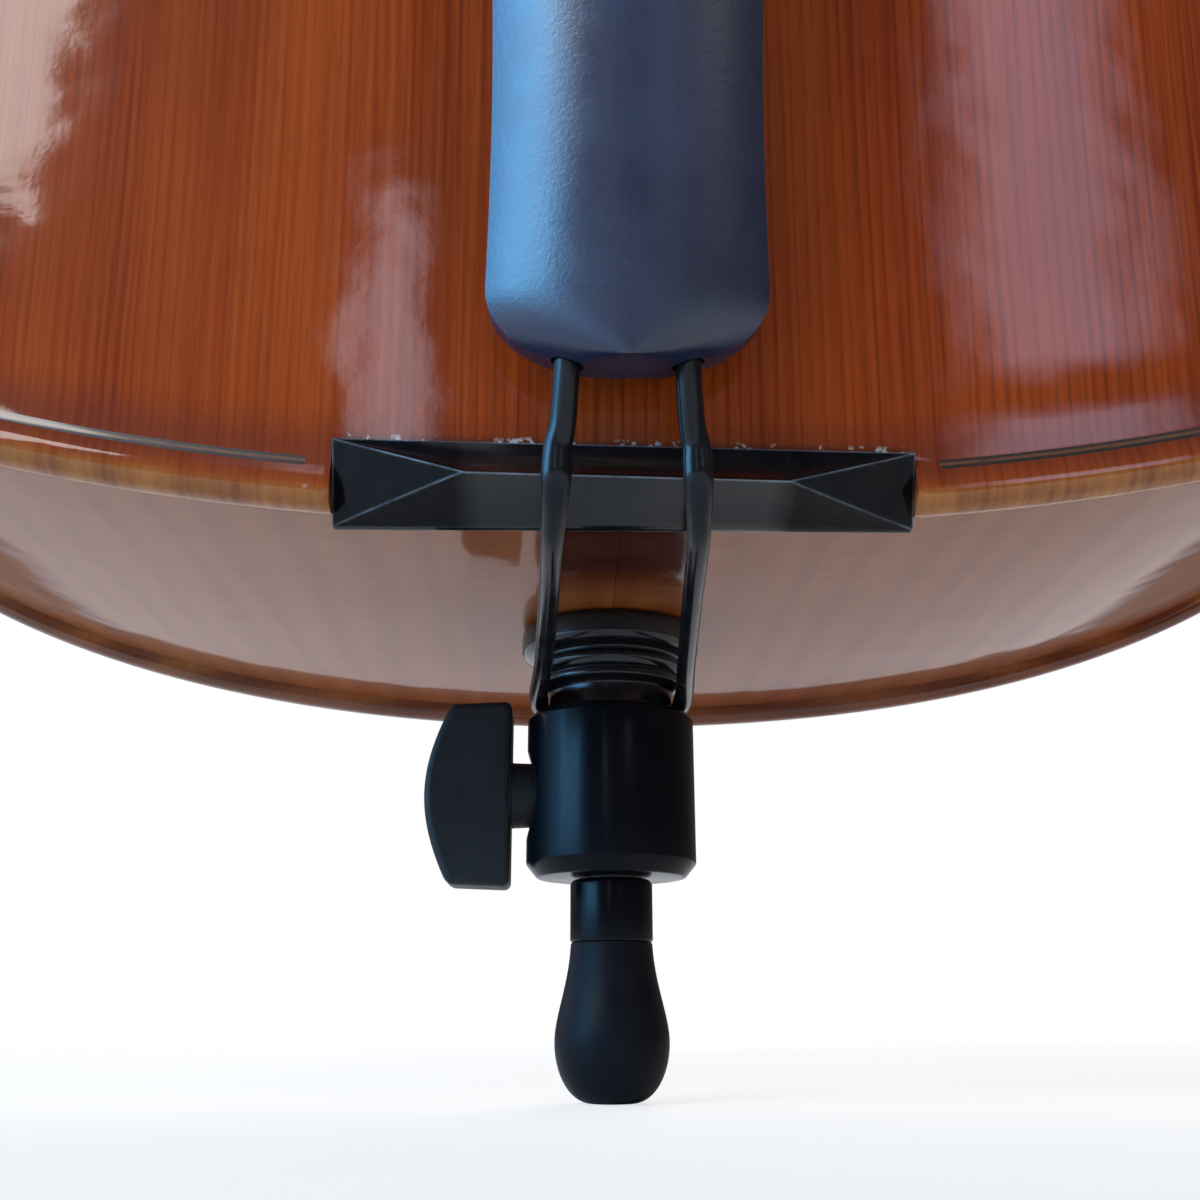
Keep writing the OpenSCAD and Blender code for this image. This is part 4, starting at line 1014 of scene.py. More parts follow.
# ------------------------------------------------------------------ saddle
SADDLE_END, SADDLE_SLOPE = 37.5, 17.5        # half length, and length of each sloping end
SADDLE_X = [5.5, 11, 16, 19.2, 20, 20.6, 22.5, 26, 30, 34, 36.6, 37.2, SADDLE_END]


def saddle_section(x):
    """Loop of (y, z) across the saddle: up the front, over the crown and back to the plate."""
    full = float(np.clip((SADDLE_END - abs(x)) / SADDLE_SLOPE, 0, 1))
    joint_z = RIB_Z + 6.3 - 0.02 * x
    foot, back = np.array([-60.2, BASE_Z]), np.array([-64.2, joint_z])
    ridge = np.array([SADDLE_Y, RIB_Z - 0.2 - 0.024 * x])
    front, crown = foot + (ridge - foot) * full, back + (ridge - back) * full
    face = front - foot
    outward = np.array([face[1], -face[0]]) / (np.linalg.norm(face) + 1e-9)
    points = [(FRONT_Y, BASE_Z), (FRONT_Y - 0.35, BASE_Z)]
    for t in np.linspace(0, 1, 9):
        if full > 0:
            points.append(foot + face * t + outward * 0.22 * math.sin(math.pi * t) * full)
        else:
            points.append(foot + (back - foot) * t * 1e-3)
    points += [front + (crown - front) * t for t in np.linspace(0, 1, 5)[1:]]
    top = back - crown
    bulge = np.array([top[1], -top[0]]) / (np.linalg.norm(top) + 1e-9)
    if bulge[0] < 0:
        bulge = -bulge
    points += [crown + top * t + bulge * 0.95 * full * math.sin(math.pi * t ** 0.8)
               for t in np.linspace(0, 1, 15)[1:]]
    return points + [(FRONT_Y, joint_z)]


saddle = loft("saddle_shaped", [[(x, y, z) for y, z in saddle_section(x)]
              for x in [-x for x in SADDLE_X[::-1]] + [0] + SADDLE_X], "ebony")
bm = bmesh.new()
bm.from_mesh(saddle.data)
bmesh.ops.remove_doubles(bm, verts=bm.verts, dist=2e-5)
bmesh.ops.dissolve_degenerate(bm, dist=1e-5, edges=bm.edges)
bmesh.ops.recalc_face_normals(bm, faces=bm.faces)
bm.to_mesh(saddle.data)
bm.free()
sharp(saddle, 30)
bevel(saddle, 0.38, segments=3, angle=24)
piece(saddle, "saddle")

# ------------------------------------------------------------------ tailgut
TAIL_TILT = math.radians(12.0394)
TAIL_FOOT = np.array([0, -70.2478, 89.1805])
CORD_R = 1.6
CORD_X, CORD_OUT = 7.4, 4                    # cord's place in the tailpiece


def tail(x, out, up):
    """Point of the tailpiece: across, out from its underside, and up along it."""
    return np.array([x, TAIL_FOOT[1] - out * math.cos(TAIL_TILT) - up * math.sin(TAIL_TILT),
                     TAIL_FOOT[2] - out * math.sin(TAIL_TILT) + up * math.cos(TAIL_TILT)])


# Strand on the +X side, from the tailpiece down to the plug: point, wide and thin factors.
STRAND = [
    (tail(CORD_X, CORD_OUT, 23), 1.0, 1.0), (tail(CORD_X, CORD_OUT, 15), 1.0, 1.0),
    (tail(CORD_X, CORD_OUT, 8), 1.0, 1.0), (tail(7.45, 3.9, 1), 1.02, 1.0),
    (tail(7.9, 3.1, -6), 1.05, 0.98), ((8.5, SADDLE_Y - 1.74, RIB_Z + 3.1), 1.12, 0.9),
    ((8.62, SADDLE_Y - 1.56, RIB_Z + 1.0), 1.19, 0.84),
    ((8.7, SADDLE_Y - 1.28, RIB_Z - 0.9), 1.19, 0.84),
    ((8.8, SADDLE_Y - 0.2, RIB_Z - 2.8), 1.1, 0.9), ((9.0, SADDLE_Y + 2.2, RIB_Z - 4.7), 1.0, 0.93),
    ((9.3, FRONT_Y - 3.4, RIB_Z - 6.8), 0.93, 0.9), ((9.9, FRONT_Y + 12, RIB_Z - 9.2), 0.9, 0.9),
    ((11.0, FRONT_Y + 35, RIB_Z - 11.7), 0.9, 0.9), ((12.0, -9, 64.2), 0.95, 0.95),
    ((12.13, -3, 63.75), 1.0, 1.0)]


def tailgut():
    """One cord: in the tailpiece, over the saddle, round the plug's groove and back up."""
    right = [(*point, wide, thin) for point, wide, thin in STRAND]
    loop = [(12.1 * math.cos(t), 12.1 * math.sin(t), 63.7, 1.0, 1.0)
            for t in np.linspace(0, math.pi, 25)]
    stations = np.array(right + loop + [(-row[0], *row[1:]) for row in right[::-1]])
    path = catmull(stations[:, :3], 6)
    at, index = np.linspace(0, len(stations) - 1, len(path)), np.arange(len(stations))
    squash = np.c_[np.interp(at, index, stations[:, 3]), np.interp(at, index, stations[:, 4])]
    piece(sweep("tailgut_cord", path, CORD_R, "gut_cord", 32, np.array([1.0, 0, 0]), squash),
          "tailgut")


tailgut()

# ------------------------------------------------------------------ tailpiece
TAIL_L = 235.0
STRING_X = [-20, -6.8, 6.8, 20]              # strings at the tailpiece


def tail_half(up):
    if up < 10:
        return 17.5 * (0.1 + 0.9 * math.sqrt(1 - (1 - up / 10) ** 2.2))
    return (17.5 + 11 * ((up - 10) / (TAIL_L - 10)) ** 1.35
            - 1.6 * math.sin(math.pi * min(1, (up - 10) / 90)))


def tail_height(x, up):
    crown, edge = 11.5 + 8.5 * up / TAIL_L, 4.6 + 5.4 * up / TAIL_L
    return edge + (crown - edge) * (1 - min(1, abs(x) / tail_half(up)) ** 2.2)


def tail_solid(name, thinner, low, high, narrower, base, material=None):
    """The tailpiece's arched form between two stations, or a smaller one to hollow it."""
    stations = [*10 * (1 - np.cos(np.linspace(0, math.pi / 2, 26))), *np.arange(13, 235, 4.0),
                TAIL_L]
    stations = [up for up in stations if low <= up <= high]
    if low > 0:
        stations = [low] + stations + [high]
    across = np.sin(np.linspace(-math.pi / 2, math.pi / 2, 49))
    rows = []
    for up in stations:
        xs = across * (tail_half(up) - narrower)
        rows.append([tail(x, max(0.4, tail_height(x, up) - thinner), up) for x in xs]
                    + [tail(x, base, up) for x in xs[::-1]])
    return loft(name, rows, material)


def tail_block(xs, outs, ups):
    points = [tail(x, out, up) for x in xs for out in outs for up in ups]
    return add("cutter", points, [(0, 1, 3, 2), (4, 6, 7, 5), (0, 4, 5, 1), (2, 3, 7, 6),
                                  (0, 2, 6, 4), (1, 5, 7, 3)])


def tailpiece():
    body = tail_solid("tailpiece_shaped", 0, 0, TAIL_L, 0, 0, "tailpiece_black")
    cutters = [tail_solid("hollow", 4.5, 35, 220, 3.5, -5),
               tail_block((-11.4, 11.4), (-1.4, 7.6), (15.9, 24.5))]
    for x in (-CORD_X, CORD_X):
        cutters.append(rod_cutter(tail(x, CORD_OUT, -3), tail(x, CORD_OUT, 19), CORD_R + 0.5, 40))
    for x in STRING_X:
        cutters += [tail_block((x - 3, x + 3), (-0.5, 26), (212, 229)),
                    rod_cutter(tail(x, -2, 203), tail(x, 30, 203), 1.62, 32),
                    tail_block((x - 3.4, x + 3.4), (-0.5, 9.4), (196, 218))]
    cut(body, cutters, 30)
    bevel(body, 0.55, segments=3, angle=33)
    piece(body, "tailpiece")


tailpiece()

# ------------------------------------------------------------------ endpin
BORE_R = 5.06
COLLAR_BOTTOM, COLLAR_TOP, COLLAR_R = collar_low[2], collar_high[2], collar_high[0]
SCREW_Z = RIB_Z - 28.4
FERRULE_TOP = COLLAR_BOTTOM - 0.3
FERRULE_BOTTOM = FERRULE_TOP - 9.9
FERRULE_R = box_mm("tip_ferrule")[1][0]
TIP_R = box_mm("tip_rubber")[1][0]
FERRULE_BORE_R, SHANK_R = 5.01, 2.61
# Profiles are (radius, z).
PLUG = [(BORE_R, 61.5), (10.9, 61.5), (11.4, 61.75), (10.4, 62.1), (10.4, 65.4), (11.3, 66.0),
        (12.3, 66.3), (12.3, 67.3), (11.7, 67.6), (12.55, 67.95), (13.15, 68.6), (13.3, 69.2),
        (13.15, 69.8), (12.6, 70.3), (11.8, 70.5), (11.8, 71.2), (14.0, 71.5), (14.75, 71.85),
        (15.2, 72.6), (15.2, 75.5), (14.9, 76.2), (14.4, 76.49), (11.55, 76.5), (10.25, 119.5),
        (BORE_R, 119.5)]
COLLAR = [(BORE_R, COLLAR_TOP), (COLLAR_R - 0.9, COLLAR_TOP), (COLLAR_R, COLLAR_TOP - 0.9),
          (COLLAR_R, COLLAR_BOTTOM + 2.2), (COLLAR_R - 1.8, COLLAR_BOTTOM),
          (BORE_R, COLLAR_BOTTOM)]
FERRULE = [(FERRULE_BORE_R, FERRULE_TOP), (FERRULE_R - 0.55, FERRULE_TOP),
           (FERRULE_R, FERRULE_TOP - 0.55), (FERRULE_R, FERRULE_BOTTOM + 0.25),
           (FERRULE_R - 0.25, FERRULE_BOTTOM), (SHANK_R, FERRULE_BOTTOM),
           (SHANK_R, FERRULE_BOTTOM + 2), (FERRULE_BORE_R, FERRULE_BOTTOM + 2)]


def plug_and_collar():
    piece(ring_lathe("plug_turned", rounded(PLUG, 0.25, 3), "plug_black", 160), "endpin_plug")
    collar = ring_lathe("collar_turned", rounded(COLLAR, 0.35, 4), "collar_black", 192)
    seat = lathe("cutter", [(8.9, 0), (8.6, 0.6), (5.9, 4.6), (5.9, 4.7)], None,
                 (-COLLAR_R - 2.3, 0, SCREW_Z), (1, 0, 0), 96)
    hole = rod_cutter((-COLLAR_R - 2, 0, SCREW_Z), (0, 0, SCREW_Z), 3.08, 48)
    cut(collar, [seat, hole], 32)
    bevel(collar, 0.22, segments=3, angle=35)
    piece(collar, "endpin_collar")


def clamp():
    """Threaded screw along X and the fan-shaped knob on its -X end."""
    thread = [(3.0 - (0.33 if k % 2 else 0.0), 5.9 + k * 0.25) for k in range(64)]
    screw = lathe("screw_threaded", [(0.0005, 5.05), (2.0, 5.05), (2.25, 5.15)] + thread
                  + [(2.9, 21.9), (0.0005, 21.9)], "steel", (0, 0, SCREW_Z), (-1, 0, 0), 48)
    piece(screw, "clamp_screw")
    inner_x, height = 16.6, 30.5
    outline = [(-inner_x, -height / 2), (-inner_x, height / 2)]
    outline += [(-inner_x - 10 - 4.2 * math.sin(math.pi * t) ** 0.9,
                 height / 2 - 0.4 - (height - 0.8) * t) for t in np.linspace(0, 1, 25)]
    knob = prism("knob_moulded", outline, -4.6, 4.6, lambda a, b, y: (a, y, SCREW_Z + b),
                 "knob_black")
    cut(knob, [rod_cutter((-12.0, 0, SCREW_Z), (-22.5, 0, SCREW_Z), 3.01, 48)], 32)
    bevel(knob, 1.15, segments=5, angle=30)
    piece(knob, "clamp_knob")
    profile = [(3.02, 0), (4.9, 0), (5.25, 0.35), (5.4, 4.6), (5.9, 5.0), (3.02, 5.0)]
    hub = lathe("knob_hub", rounded(profile, 0.2, 3), "knob_black", (-11.75, 0, SCREW_Z),
                (-1, 0, 0), 64)
    extra(hub, "clamp_knob")


def ferrule_and_tip():
    piece(ring_lathe("ferrule_turned", rounded(FERRULE, 0.2, 3), "collar_black", 128),
          "tip_ferrule")
    upper = bezier([[FERRULE_R - 0.1, FERRULE_BOTTOM - 0.30],
                    [FERRULE_R + 0.3, FERRULE_BOTTOM - 7],
                    [TIP_R - 0.05, FERRULE_BOTTOM - 11], [TIP_R, 9.0]], 24)
    lower = bezier([[TIP_R, 9.0], [TIP_R - 0.1, 4], [6.6, 0], [3.2, 0]], 24)[1:]
    profile = [(0.001, 3.85), (0.25, 3.9), (SHANK_R, 9.0), (SHANK_R, FERRULE_BOTTOM - 0.02),
               (FERRULE_R - 0.45, FERRULE_BOTTOM - 0.02), (FERRULE_R - 0.2, FERRULE_BOTTOM - 0.1),
               *upper, *lower, (3.2, 0.0), (1.2, 0.0), (0.001, 0.0)]
    piece(lathe("tip_moulded", profile, "tip_rubber", sides=144), "tip_rubber")


plug_and_collar()
clamp()
ferrule_and_tip()

# ------------------------------------------------------------------ neck
BOARD_TILT, HEAD_TILT = math.radians(9.369), math.radians(22)
NUT_Z, NUT_Y = 1108.0, -40.131               # nut end of the fingerboard's gluing plane
BOARD_NUT_W, BOARD_END_W, BOARD_L = 31.5, board_high[0] - board_low[0], 580.0
BOARD_T, BOARD_RADIUS = 12.5, 64.0
HEEL_TOP, NECK_T = 905.0, 21.5


def glue_y(z):
    return NUT_Y + (z - NUT_Z) * math.tan(BOARD_TILT)


def head(x, back, up):
    """Point of the pegbox and scroll: across, towards the back, and up along the head."""
    return (x, NUT_Y + back * math.cos(HEAD_TILT) + up * math.sin(HEAD_TILT),
            NUT_Z - back * math.sin(HEAD_TILT) + up * math.cos(HEAD_TILT))


def neck():
    """Superellipse sections that change from the heel's block to the rounded shaft."""
    top_y = glue_y(HEEL_TOP)
    heel = bezier([[top_y + NECK_T, HEEL_TOP], [top_y + 23, 872], [-26, 847], [BACK_Y, 838]], 26)
    stations = [(BACK_Y, NECK_ROOT_Z), (BACK_Y, 826.0), (BACK_Y, 838.0), *heel[-2::-1]]
    stations += [(glue_y(z) + NECK_T - 2.0 * (z - HEEL_TOP) / (NUT_Z - HEEL_TOP), z)
                 for z in np.linspace(915, NUT_Z, 30)]
    angles = np.linspace(0, math.pi, 41)
    cos, sin = np.cos(angles), np.sin(angles)
    rows = []
    for back_y, z in stations:
        heel_part = 1 - smoothstep(z, 850, 903)
        power = 2.0 + 5.5 * (1 - smoothstep(z, 838, 890))
        board_w = BOARD_NUT_W + (BOARD_END_W - BOARD_NUT_W) * (NUT_Z - z) / BOARD_L
        u = np.sign(cos) * np.abs(cos) ** (2 / power)
        y = glue_y(z) + np.abs(sin) ** (2 / power) * (back_y - glue_y(z))
        width = (1 - heel_part) * board_w + heel_part * np.interp(y, [-60, 59], [44, 29])
        rows.append(np.c_[u * width / 2, y, np.full(41, z)])
    ob = sharp(loft("neck_carved", rows, "varnished_maple_neck"), 34)
    bevel(ob, 0.7, segments=2, angle=40)
    piece(ob, "neck")


neck()

# ------------------------------------------------------------------ pegbox and scroll
SCROLL_BACK, SCROLL_UP = 4.0, 168.0          # centre of the spiral
# Tables along the head: stations going up, then the value at each.
BACK_CURVE = bezier([[29, 110], [30.5, 134], [35.5, 150], [35, 168]], 20)
BACK_LINE = (np.concatenate([[-22, -12, -6, 0, 8, 60], BACK_CURVE[:, 1], [168.0]]),
             np.concatenate([[11.5, 16.6, 19.0, 20.6, 22.0, 26], BACK_CURVE[:, 0], [35.0]]))
FRONT_LINE = ([-22, 0, 6.6, 8.4, 60, 118, 126, 132, 137, 141, 146, 152, 168],
              [4.9, 0.0, -1.5, -7.8, -4, 0.6, 1.2, 0.6, -1.6, -5, -8, -6, 4])
HALF_WIDTH = ([-22, -12, -6, 0, 5, 10, 16, 60, 100, 126, 134, 142, 168],
              [14.6, 15.2, 15.9, 17.0, 18.9, 20.3, 20.9, 20, 17.9, 16.3, 14.9, 13.5, 13.0])


def flute(x, half, depth=2.3):
    """Two hollows with a spine between, across a strip."""
    return depth * math.sin(math.pi * min(1, abs(x) / half)) ** 2


def pegbox():
    rows = []
    for up in [*np.linspace(-22, 6.6, 16), 7.0, 7.6, 8.4, 10, 12.5, 15, 17.5, 20,
               *np.linspace(24, 118, 24), *np.linspace(121, 168, 26)]:
        half, front, back = (float(np.interp(up, *table))
                             for table in (HALF_WIDTH, FRONT_LINE, BACK_LINE))
        radius = (6.5 - 5.2 * smoothstep(up, 10, 150)
                  + min(5.8, (back - front) * 0.3) * (1 - smoothstep(up, -10, 14)))
        depth = 2.3 * smoothstep(up, 4, 60)
        flat = half - radius
        side = [(half, front + 1.0), (half, front + (back - radius - front) * 0.5),
                (half, back - radius)]
        side += [(half - radius * (1 - math.cos(t)), back - radius + radius * math.sin(t))
                 for t in np.linspace(0.25, math.pi / 2, 6)]
        row = mirror(side) + [(x, back - flute(x, flat, depth))
                              for x in np.linspace(-flat, flat, 25)[1:-1]]
        row += side[::-1] + [(half - 1.0, front), (-half + 1.0, front)]
        rows.append([head(x, q, up) for x, q in row])
    ob = loft("pegbox_carved", rows, "varnished_maple_neck")
    hollow = [(-13.2, 7), (13.2, 7), (11.5, 36), (11.5, 60), (8.5, 122), (-8.5, 122),
              (-11.5, 60), (-11.5, 36)]
    cut(ob, [prism("cutter", hollow, -40, 19, lambda x, up, back: head(x, back, up))], 30)
    bevel(ob, 0.7, segments=2, angle=40)
    extra(ob, "body")


def scroll_radius(angle):
    return 31.0 * math.exp(-0.0728 * angle)


def scroll_half(angle):
    return 13.0 + 7.0 * angle / (2 * math.pi)


def scroll_turn(number):
    """One turn of the scroll: a ramp that rises and tightens towards the eye."""
    rows = []
    for a in np.linspace(2 * math.pi * number, 2 * math.pi * (number + 1), 97):
        r, half, inner = scroll_radius(a), scroll_half(a), scroll_radius(a + 2 * math.pi)
        face = [(0.05, half - 0.7), (inner * 0.75, half - 0.7), (inner * 0.98, half - 0.7)]
        face += [(inner + (r - 1.3 - inner) * u,
                  half - 0.7 - 1.5 * math.sin(math.pi * u) ** 0.9 + 0.7 * u)
                 for u in np.linspace(0.08, 0.94, 9)]
        face += [(r - 1.3, half), (r - 0.55, half - 0.35), (r, half - 1.2)]
        wall_half = half - 1.2
        wall = [(r - flute(x, wall_half), x)
                for x in np.linspace(wall_half, -wall_half, 29)[1:-1]]
        profile = face + wall + [(radius, -x) for radius, x in face[::-1]]
        rows.append([head(x, SCROLL_BACK + radius * math.cos(a), SCROLL_UP + radius * math.sin(a))
                     for radius, x in profile])
    ob = sharp(loft("scroll_turn_%d" % (number + 1), rows, "varnished_maple_neck"), 42)
    extra(ob, "body")


def scroll_eyes():
    r, half = scroll_radius(6 * math.pi), scroll_half(6 * math.pi)
    end = [(0.02, -half - 0.2), (r * 0.5, -half + 0.1), (r * 0.85, -half + 0.9),
           (r, -half + 2.2)]
    ob = lathe("scroll_eyes", end + [(radius, -h) for radius, h in end[::-1]],
               "varnished_maple_neck", head(0, SCROLL_BACK, SCROLL_UP), (1, 0, 0), 64)
    extra(ob, "body")


pegbox()
for number in range(3):
    scroll_turn(number)
scroll_eyes()


# ------------------------------------------------------------------ fingerboard
def fingerboard():
    """Arched board, hollowed underneath where it stands free of the neck."""
    hollow_start = 285
    cos, sin = math.cos(BOARD_TILT), math.sin(BOARD_TILT)
    rows = []
    for s in [0, 0.8, *np.linspace(6, 574, 72), 579.2, 580]:
        half = (BOARD_NUT_W + (BOARD_END_W - BOARD_NUT_W) * s / BOARD_L) / 2
        trim = 0.35 if s in (0, 580) else 0.0
        depth = 2.6 + 4.2 * (s - hollow_start) / 295 if s > hollow_start else 0
        depth *= smoothstep(s, hollow_start, 330)
        row = [(x, -(BOARD_T - trim - (BOARD_RADIUS - math.sqrt(BOARD_RADIUS ** 2 - x * x))))
               for x in np.linspace(-half + trim, half - trim, 33)]
        row += [(x, -depth * max(0.0, 1 - (x / (half - 4.5)) ** 2) ** 0.7)
                for x in np.linspace(half - trim, -half + trim, 25)]
        rows.append([(x, NUT_Y + y * cos - s * sin, NUT_Z - y * sin - s * cos) for x, y in row])
    ob = sharp(loft("fingerboard_shaped", rows, "ebony"), 34)
    bevel(ob, 0.5, segments=3, angle=50)
    piece(ob, "fingerboard")


fingerboard()

# ------------------------------------------------------------------ pegs and windings
# One entry for each string, from -X to +X.
NAMES = ["c", "g", "d", "a"]
STRING_R = [0.9, 0.72, 0.55, 0.42]
PEG_UP, PEG_BACK = [28, 76, 98, 50], [9, 11, 11.5, 10]
PEG_SIDE = [-1, -1, 1, 1]                    # side of the head that carries the peg's grip
COIL_X = [-7.2, -3.6, 3.6, 7.2]


def peg_r(u):
    return 6.1 + u * 0.033


# (radius, distance along the peg)
PEG = rounded([(0.02, -25), (peg_r(-25) - 0.8, -25), (peg_r(-25), -24.2), (peg_r(27), 27),
               (7.2, 27), (8.5, 27.9), (8.7, 29.2), (7.5, 30.5), (6.2, 31), (6.6, 31.8),
               (6.6, 32.6), (5.2, 33.4), (4.5, 36), (4.6, 40), (4.4, 44), (0.02, 44)], 0.35, 3)
PEG_PIP = [(0.02, 62.4), (1.6, 62.6), (2.1, 63.2), (2.25, 64.0), (1.7, 64.7), (0.9, 65.0),
           (0.02, 65.05)]
# Grip: distance along the peg, half width, half thickness.
GRIP_U, GRIP_WIDE, GRIP_THIN = zip(
    (37, 4.1, 4.1), (38.5, 4.3, 4.2), (41, 5.4, 4.2), (43.5, 8.2, 3.9), (46, 11.4, 3.5),
    (48.5, 13.9, 3.2), (51, 15.3, 3.05), (53.5, 16.0, 3.05), (56, 15.6, 3.1),
    (58.5, 13.9, 3.1), (60.5, 11.3, 3.0), (62, 7.6, 2.6), (63, 4.0, 1.8), (63.6, 0.5, 0.4))


def on_peg(i, up, back, u):
    """Point on a peg: up the pegbox, towards its back, and out along the peg."""
    return head(PEG_SIDE[i] * u, PEG_BACK[i] + back, PEG_UP[i] + up)


def turned_on_peg(name, i, profile):
    return loft(name, [[on_peg(i, r * math.cos(t), r * math.sin(t), u) for t in circle(48)]
                       for r, u in profile], "ebony")


def peg_grip(name, i):
    """Flat oval grip, pinched beside its middle."""
    rows = []
    for u in np.linspace(37, 63.6, 40):
        wide, thin = np.interp(u, GRIP_U, GRIP_WIDE), np.interp(u, GRIP_U, GRIP_THIN)
        row = []
        for t in circle(56):
            cos, sin = math.cos(t), math.sin(t)
            pinch = 1 - 0.24 * smoothstep(u, 42, 50) * math.exp(-((abs(cos) - 0.52) / 0.26) ** 2)
            row.append(on_peg(i, thin * np.sign(sin) * abs(sin) ** 0.8 * pinch, wide * cos, u))
        rows.append(row)
    return sharp(loft(name, rows, "ebony"), 60)


def coil(name, i):
    """Helical winding of a string on its peg, running towards the middle."""
    radius = peg_r(COIL_X[i] * PEG_SIDE[i]) + STRING_R[i] + 0.05
    pitch = 2.04 * STRING_R[i] * (1 if COIL_X[i] < 0 else -1)
    path = []
    for t in np.linspace(0, 4.25 * 2 * math.pi, 170):
        angle = math.pi * 1.18 + t
        path.append(head(COIL_X[i] + t / (2 * math.pi) * pitch,
                         PEG_BACK[i] + radius * math.cos(angle),
                         PEG_UP[i] + radius * math.sin(angle)))
    return sweep(name, path, STRING_R[i], "string_silk", 14)


for i, name in enumerate(NAMES):
    piece(sharp(turned_on_peg("peg_turned_" + name, i, PEG), 45), "peg_" + name)
    extra(peg_grip("peg_head_" + name, i), "peg_" + name)
    extra(turned_on_peg("peg_pip_" + name, i, PEG_PIP), "peg_" + name)
    piece(coil("winding_" + name, i), "coil_" + name)

# ------------------------------------------------------------------ strings
AT_NUT = [(-11.2, -53.6124, 1109.5), (-3.8, -54.3071, 1109.5), (3.8, -54.1371, 1109.5),
          (11.2, -53.1324, 1109.5)]
AT_BRIDGE = [(-24, -169.566, 428), (-8, -173.702, 428), (8, -173.532, 428), (24, -169.086, 428)]


def soft_path(points, radius):
    """Polyline with its bends rounded and its long parts divided."""
    points = [np.array(p, float) for p in points]
    out = [points[0]]
    for before, corner, after in zip(points, points[1:], points[2:]):
        a = (before - corner) / np.linalg.norm(before - corner)
        b = (after - corner) / np.linalg.norm(after - corner)
        for t in np.linspace(0, 1, 6):
            out.append((1 - t) ** 2 * (corner + a * radius) + 2 * t * (1 - t) * corner
                       + t * t * (corner + b * radius))
    out.append(points[-1])
    full = []
    for p, q in zip(out[:-1], out[1:]):
        count = max(1, int(np.linalg.norm(q - p) / 12))
        full += [p + (q - p) * j / count for j in range(count)]
    return full + [out[-1]]


def string(name, i):
    """A string, its ball end, and its silk-covered first part."""
    x, radius = STRING_X[i], STRING_R[i]
    start = tail(x, 21.5 - x * x / 120, 222.0)
    along = np.array(AT_BRIDGE[i]) - start
    along /= np.linalg.norm(along)
    at_coil = head(COIL_X[i], PEG_BACK[i] - peg_r(COIL_X[i] * PEG_SIDE[i]) - radius - 0.8,
                   PEG_UP[i] - 5.2)
    path = soft_path([start + along * 6.6, AT_BRIDGE[i], AT_NUT[i], at_coil], 2.4)
    piece(sweep("string_wound_" + name, path, radius, "string_winding", 16), "string_" + name)
    profile = [(0.55, -2.0), (1.9, -2.0), (2.2, -1.5), (2.2, 1.5), (1.9, 2.0), (0.55, 2.0)]
    ball = lathe("ball_end_" + name, profile, "brass", start - along * 4.25, (1, 0, 0), 40)
    piece(ball, "string_end_" + name)
    lead = sweep("string_lead_" + name, [start + along * t for t in np.linspace(-3.2, 7.2, 27)],
                 radius * 1.02, "string_silk", 16)
    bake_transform(lead)


for i, name in enumerate(NAMES):
    string(name, i)

# ------------------------------------------------------------------ bridge
# Curves in (x, height), height running out from the plate towards -Y.
BRIDGE_FOOT_Y = -84.0
BRIDGE_Z = (bridge_low[2] + bridge_high[2]) / 2
BRIDGE_H = -bridge_low[1] + BRIDGE_FOOT_Y
CROWN_HALF, CROWN_RADIUS = 31, 62
BRIDGE_SIDE = [[[46, -7.3], [46, 4], [38, 6], [36, 12]], [[36, 12], [32, 24], [35, 36], [37, 42]],
               [[37, 42], [43, 42], [44, 52], [38, 53]], [[38, 53], [31, 53], [28, 58], [31, 66]]]
BRIDGE_ARCH = [[[0, 40], [9, 40], [13, 36], [15, 27]], [[15, 27], [17, 16], [25, 10], [26, -3.8]]]
KIDNEY = [[[20, 53], [20, 61], [28, 66], [27, 57]], [[27, 57], [28, 48], [20, 45], [20, 53]]]


def dedupe(points):
    out = []
    for p in points:
        if not out or math.dist(p, out[-1]) > 1e-4:
            out.append(p)
    if math.dist(out[0], out[-1]) < 1e-4:
        out.pop()
    return out


def bridge_loops():
    """The outline, then the middle hole and the two kidney holes."""
    side = chain(BRIDGE_SIDE, (14, 12, 14, 14)).tolist()
    for k in range(17):
        x = CROWN_HALF * (1 - k / 16)
        side.append((x, BRIDGE_H - (CROWN_RADIUS - math.sqrt(CROWN_RADIUS ** 2 - x ** 2))))
    arch = chain(BRIDGE_ARCH, (14, 14)).tolist() + [(26, -3.8)]
    heart = [(0, 50), (3.2, 57.0), (5.2, 60.2)]
    heart += [(0.9 + 4.3 * math.cos(t), 62.6 + 4.0 * math.sin(t))
              for t in np.linspace(0.0, 2.4, 10)]
    heart.append((0.0, 64.0))
    kidney = chain(KIDNEY, (14, 14)).tolist()
    return [dedupe(side + mirror(side[::-1]) + mirror(arch[::-1]) + arch),
            dedupe(heart + mirror(heart[::-1])), dedupe(kidney), dedupe(mirror(kidney))[::-1]]


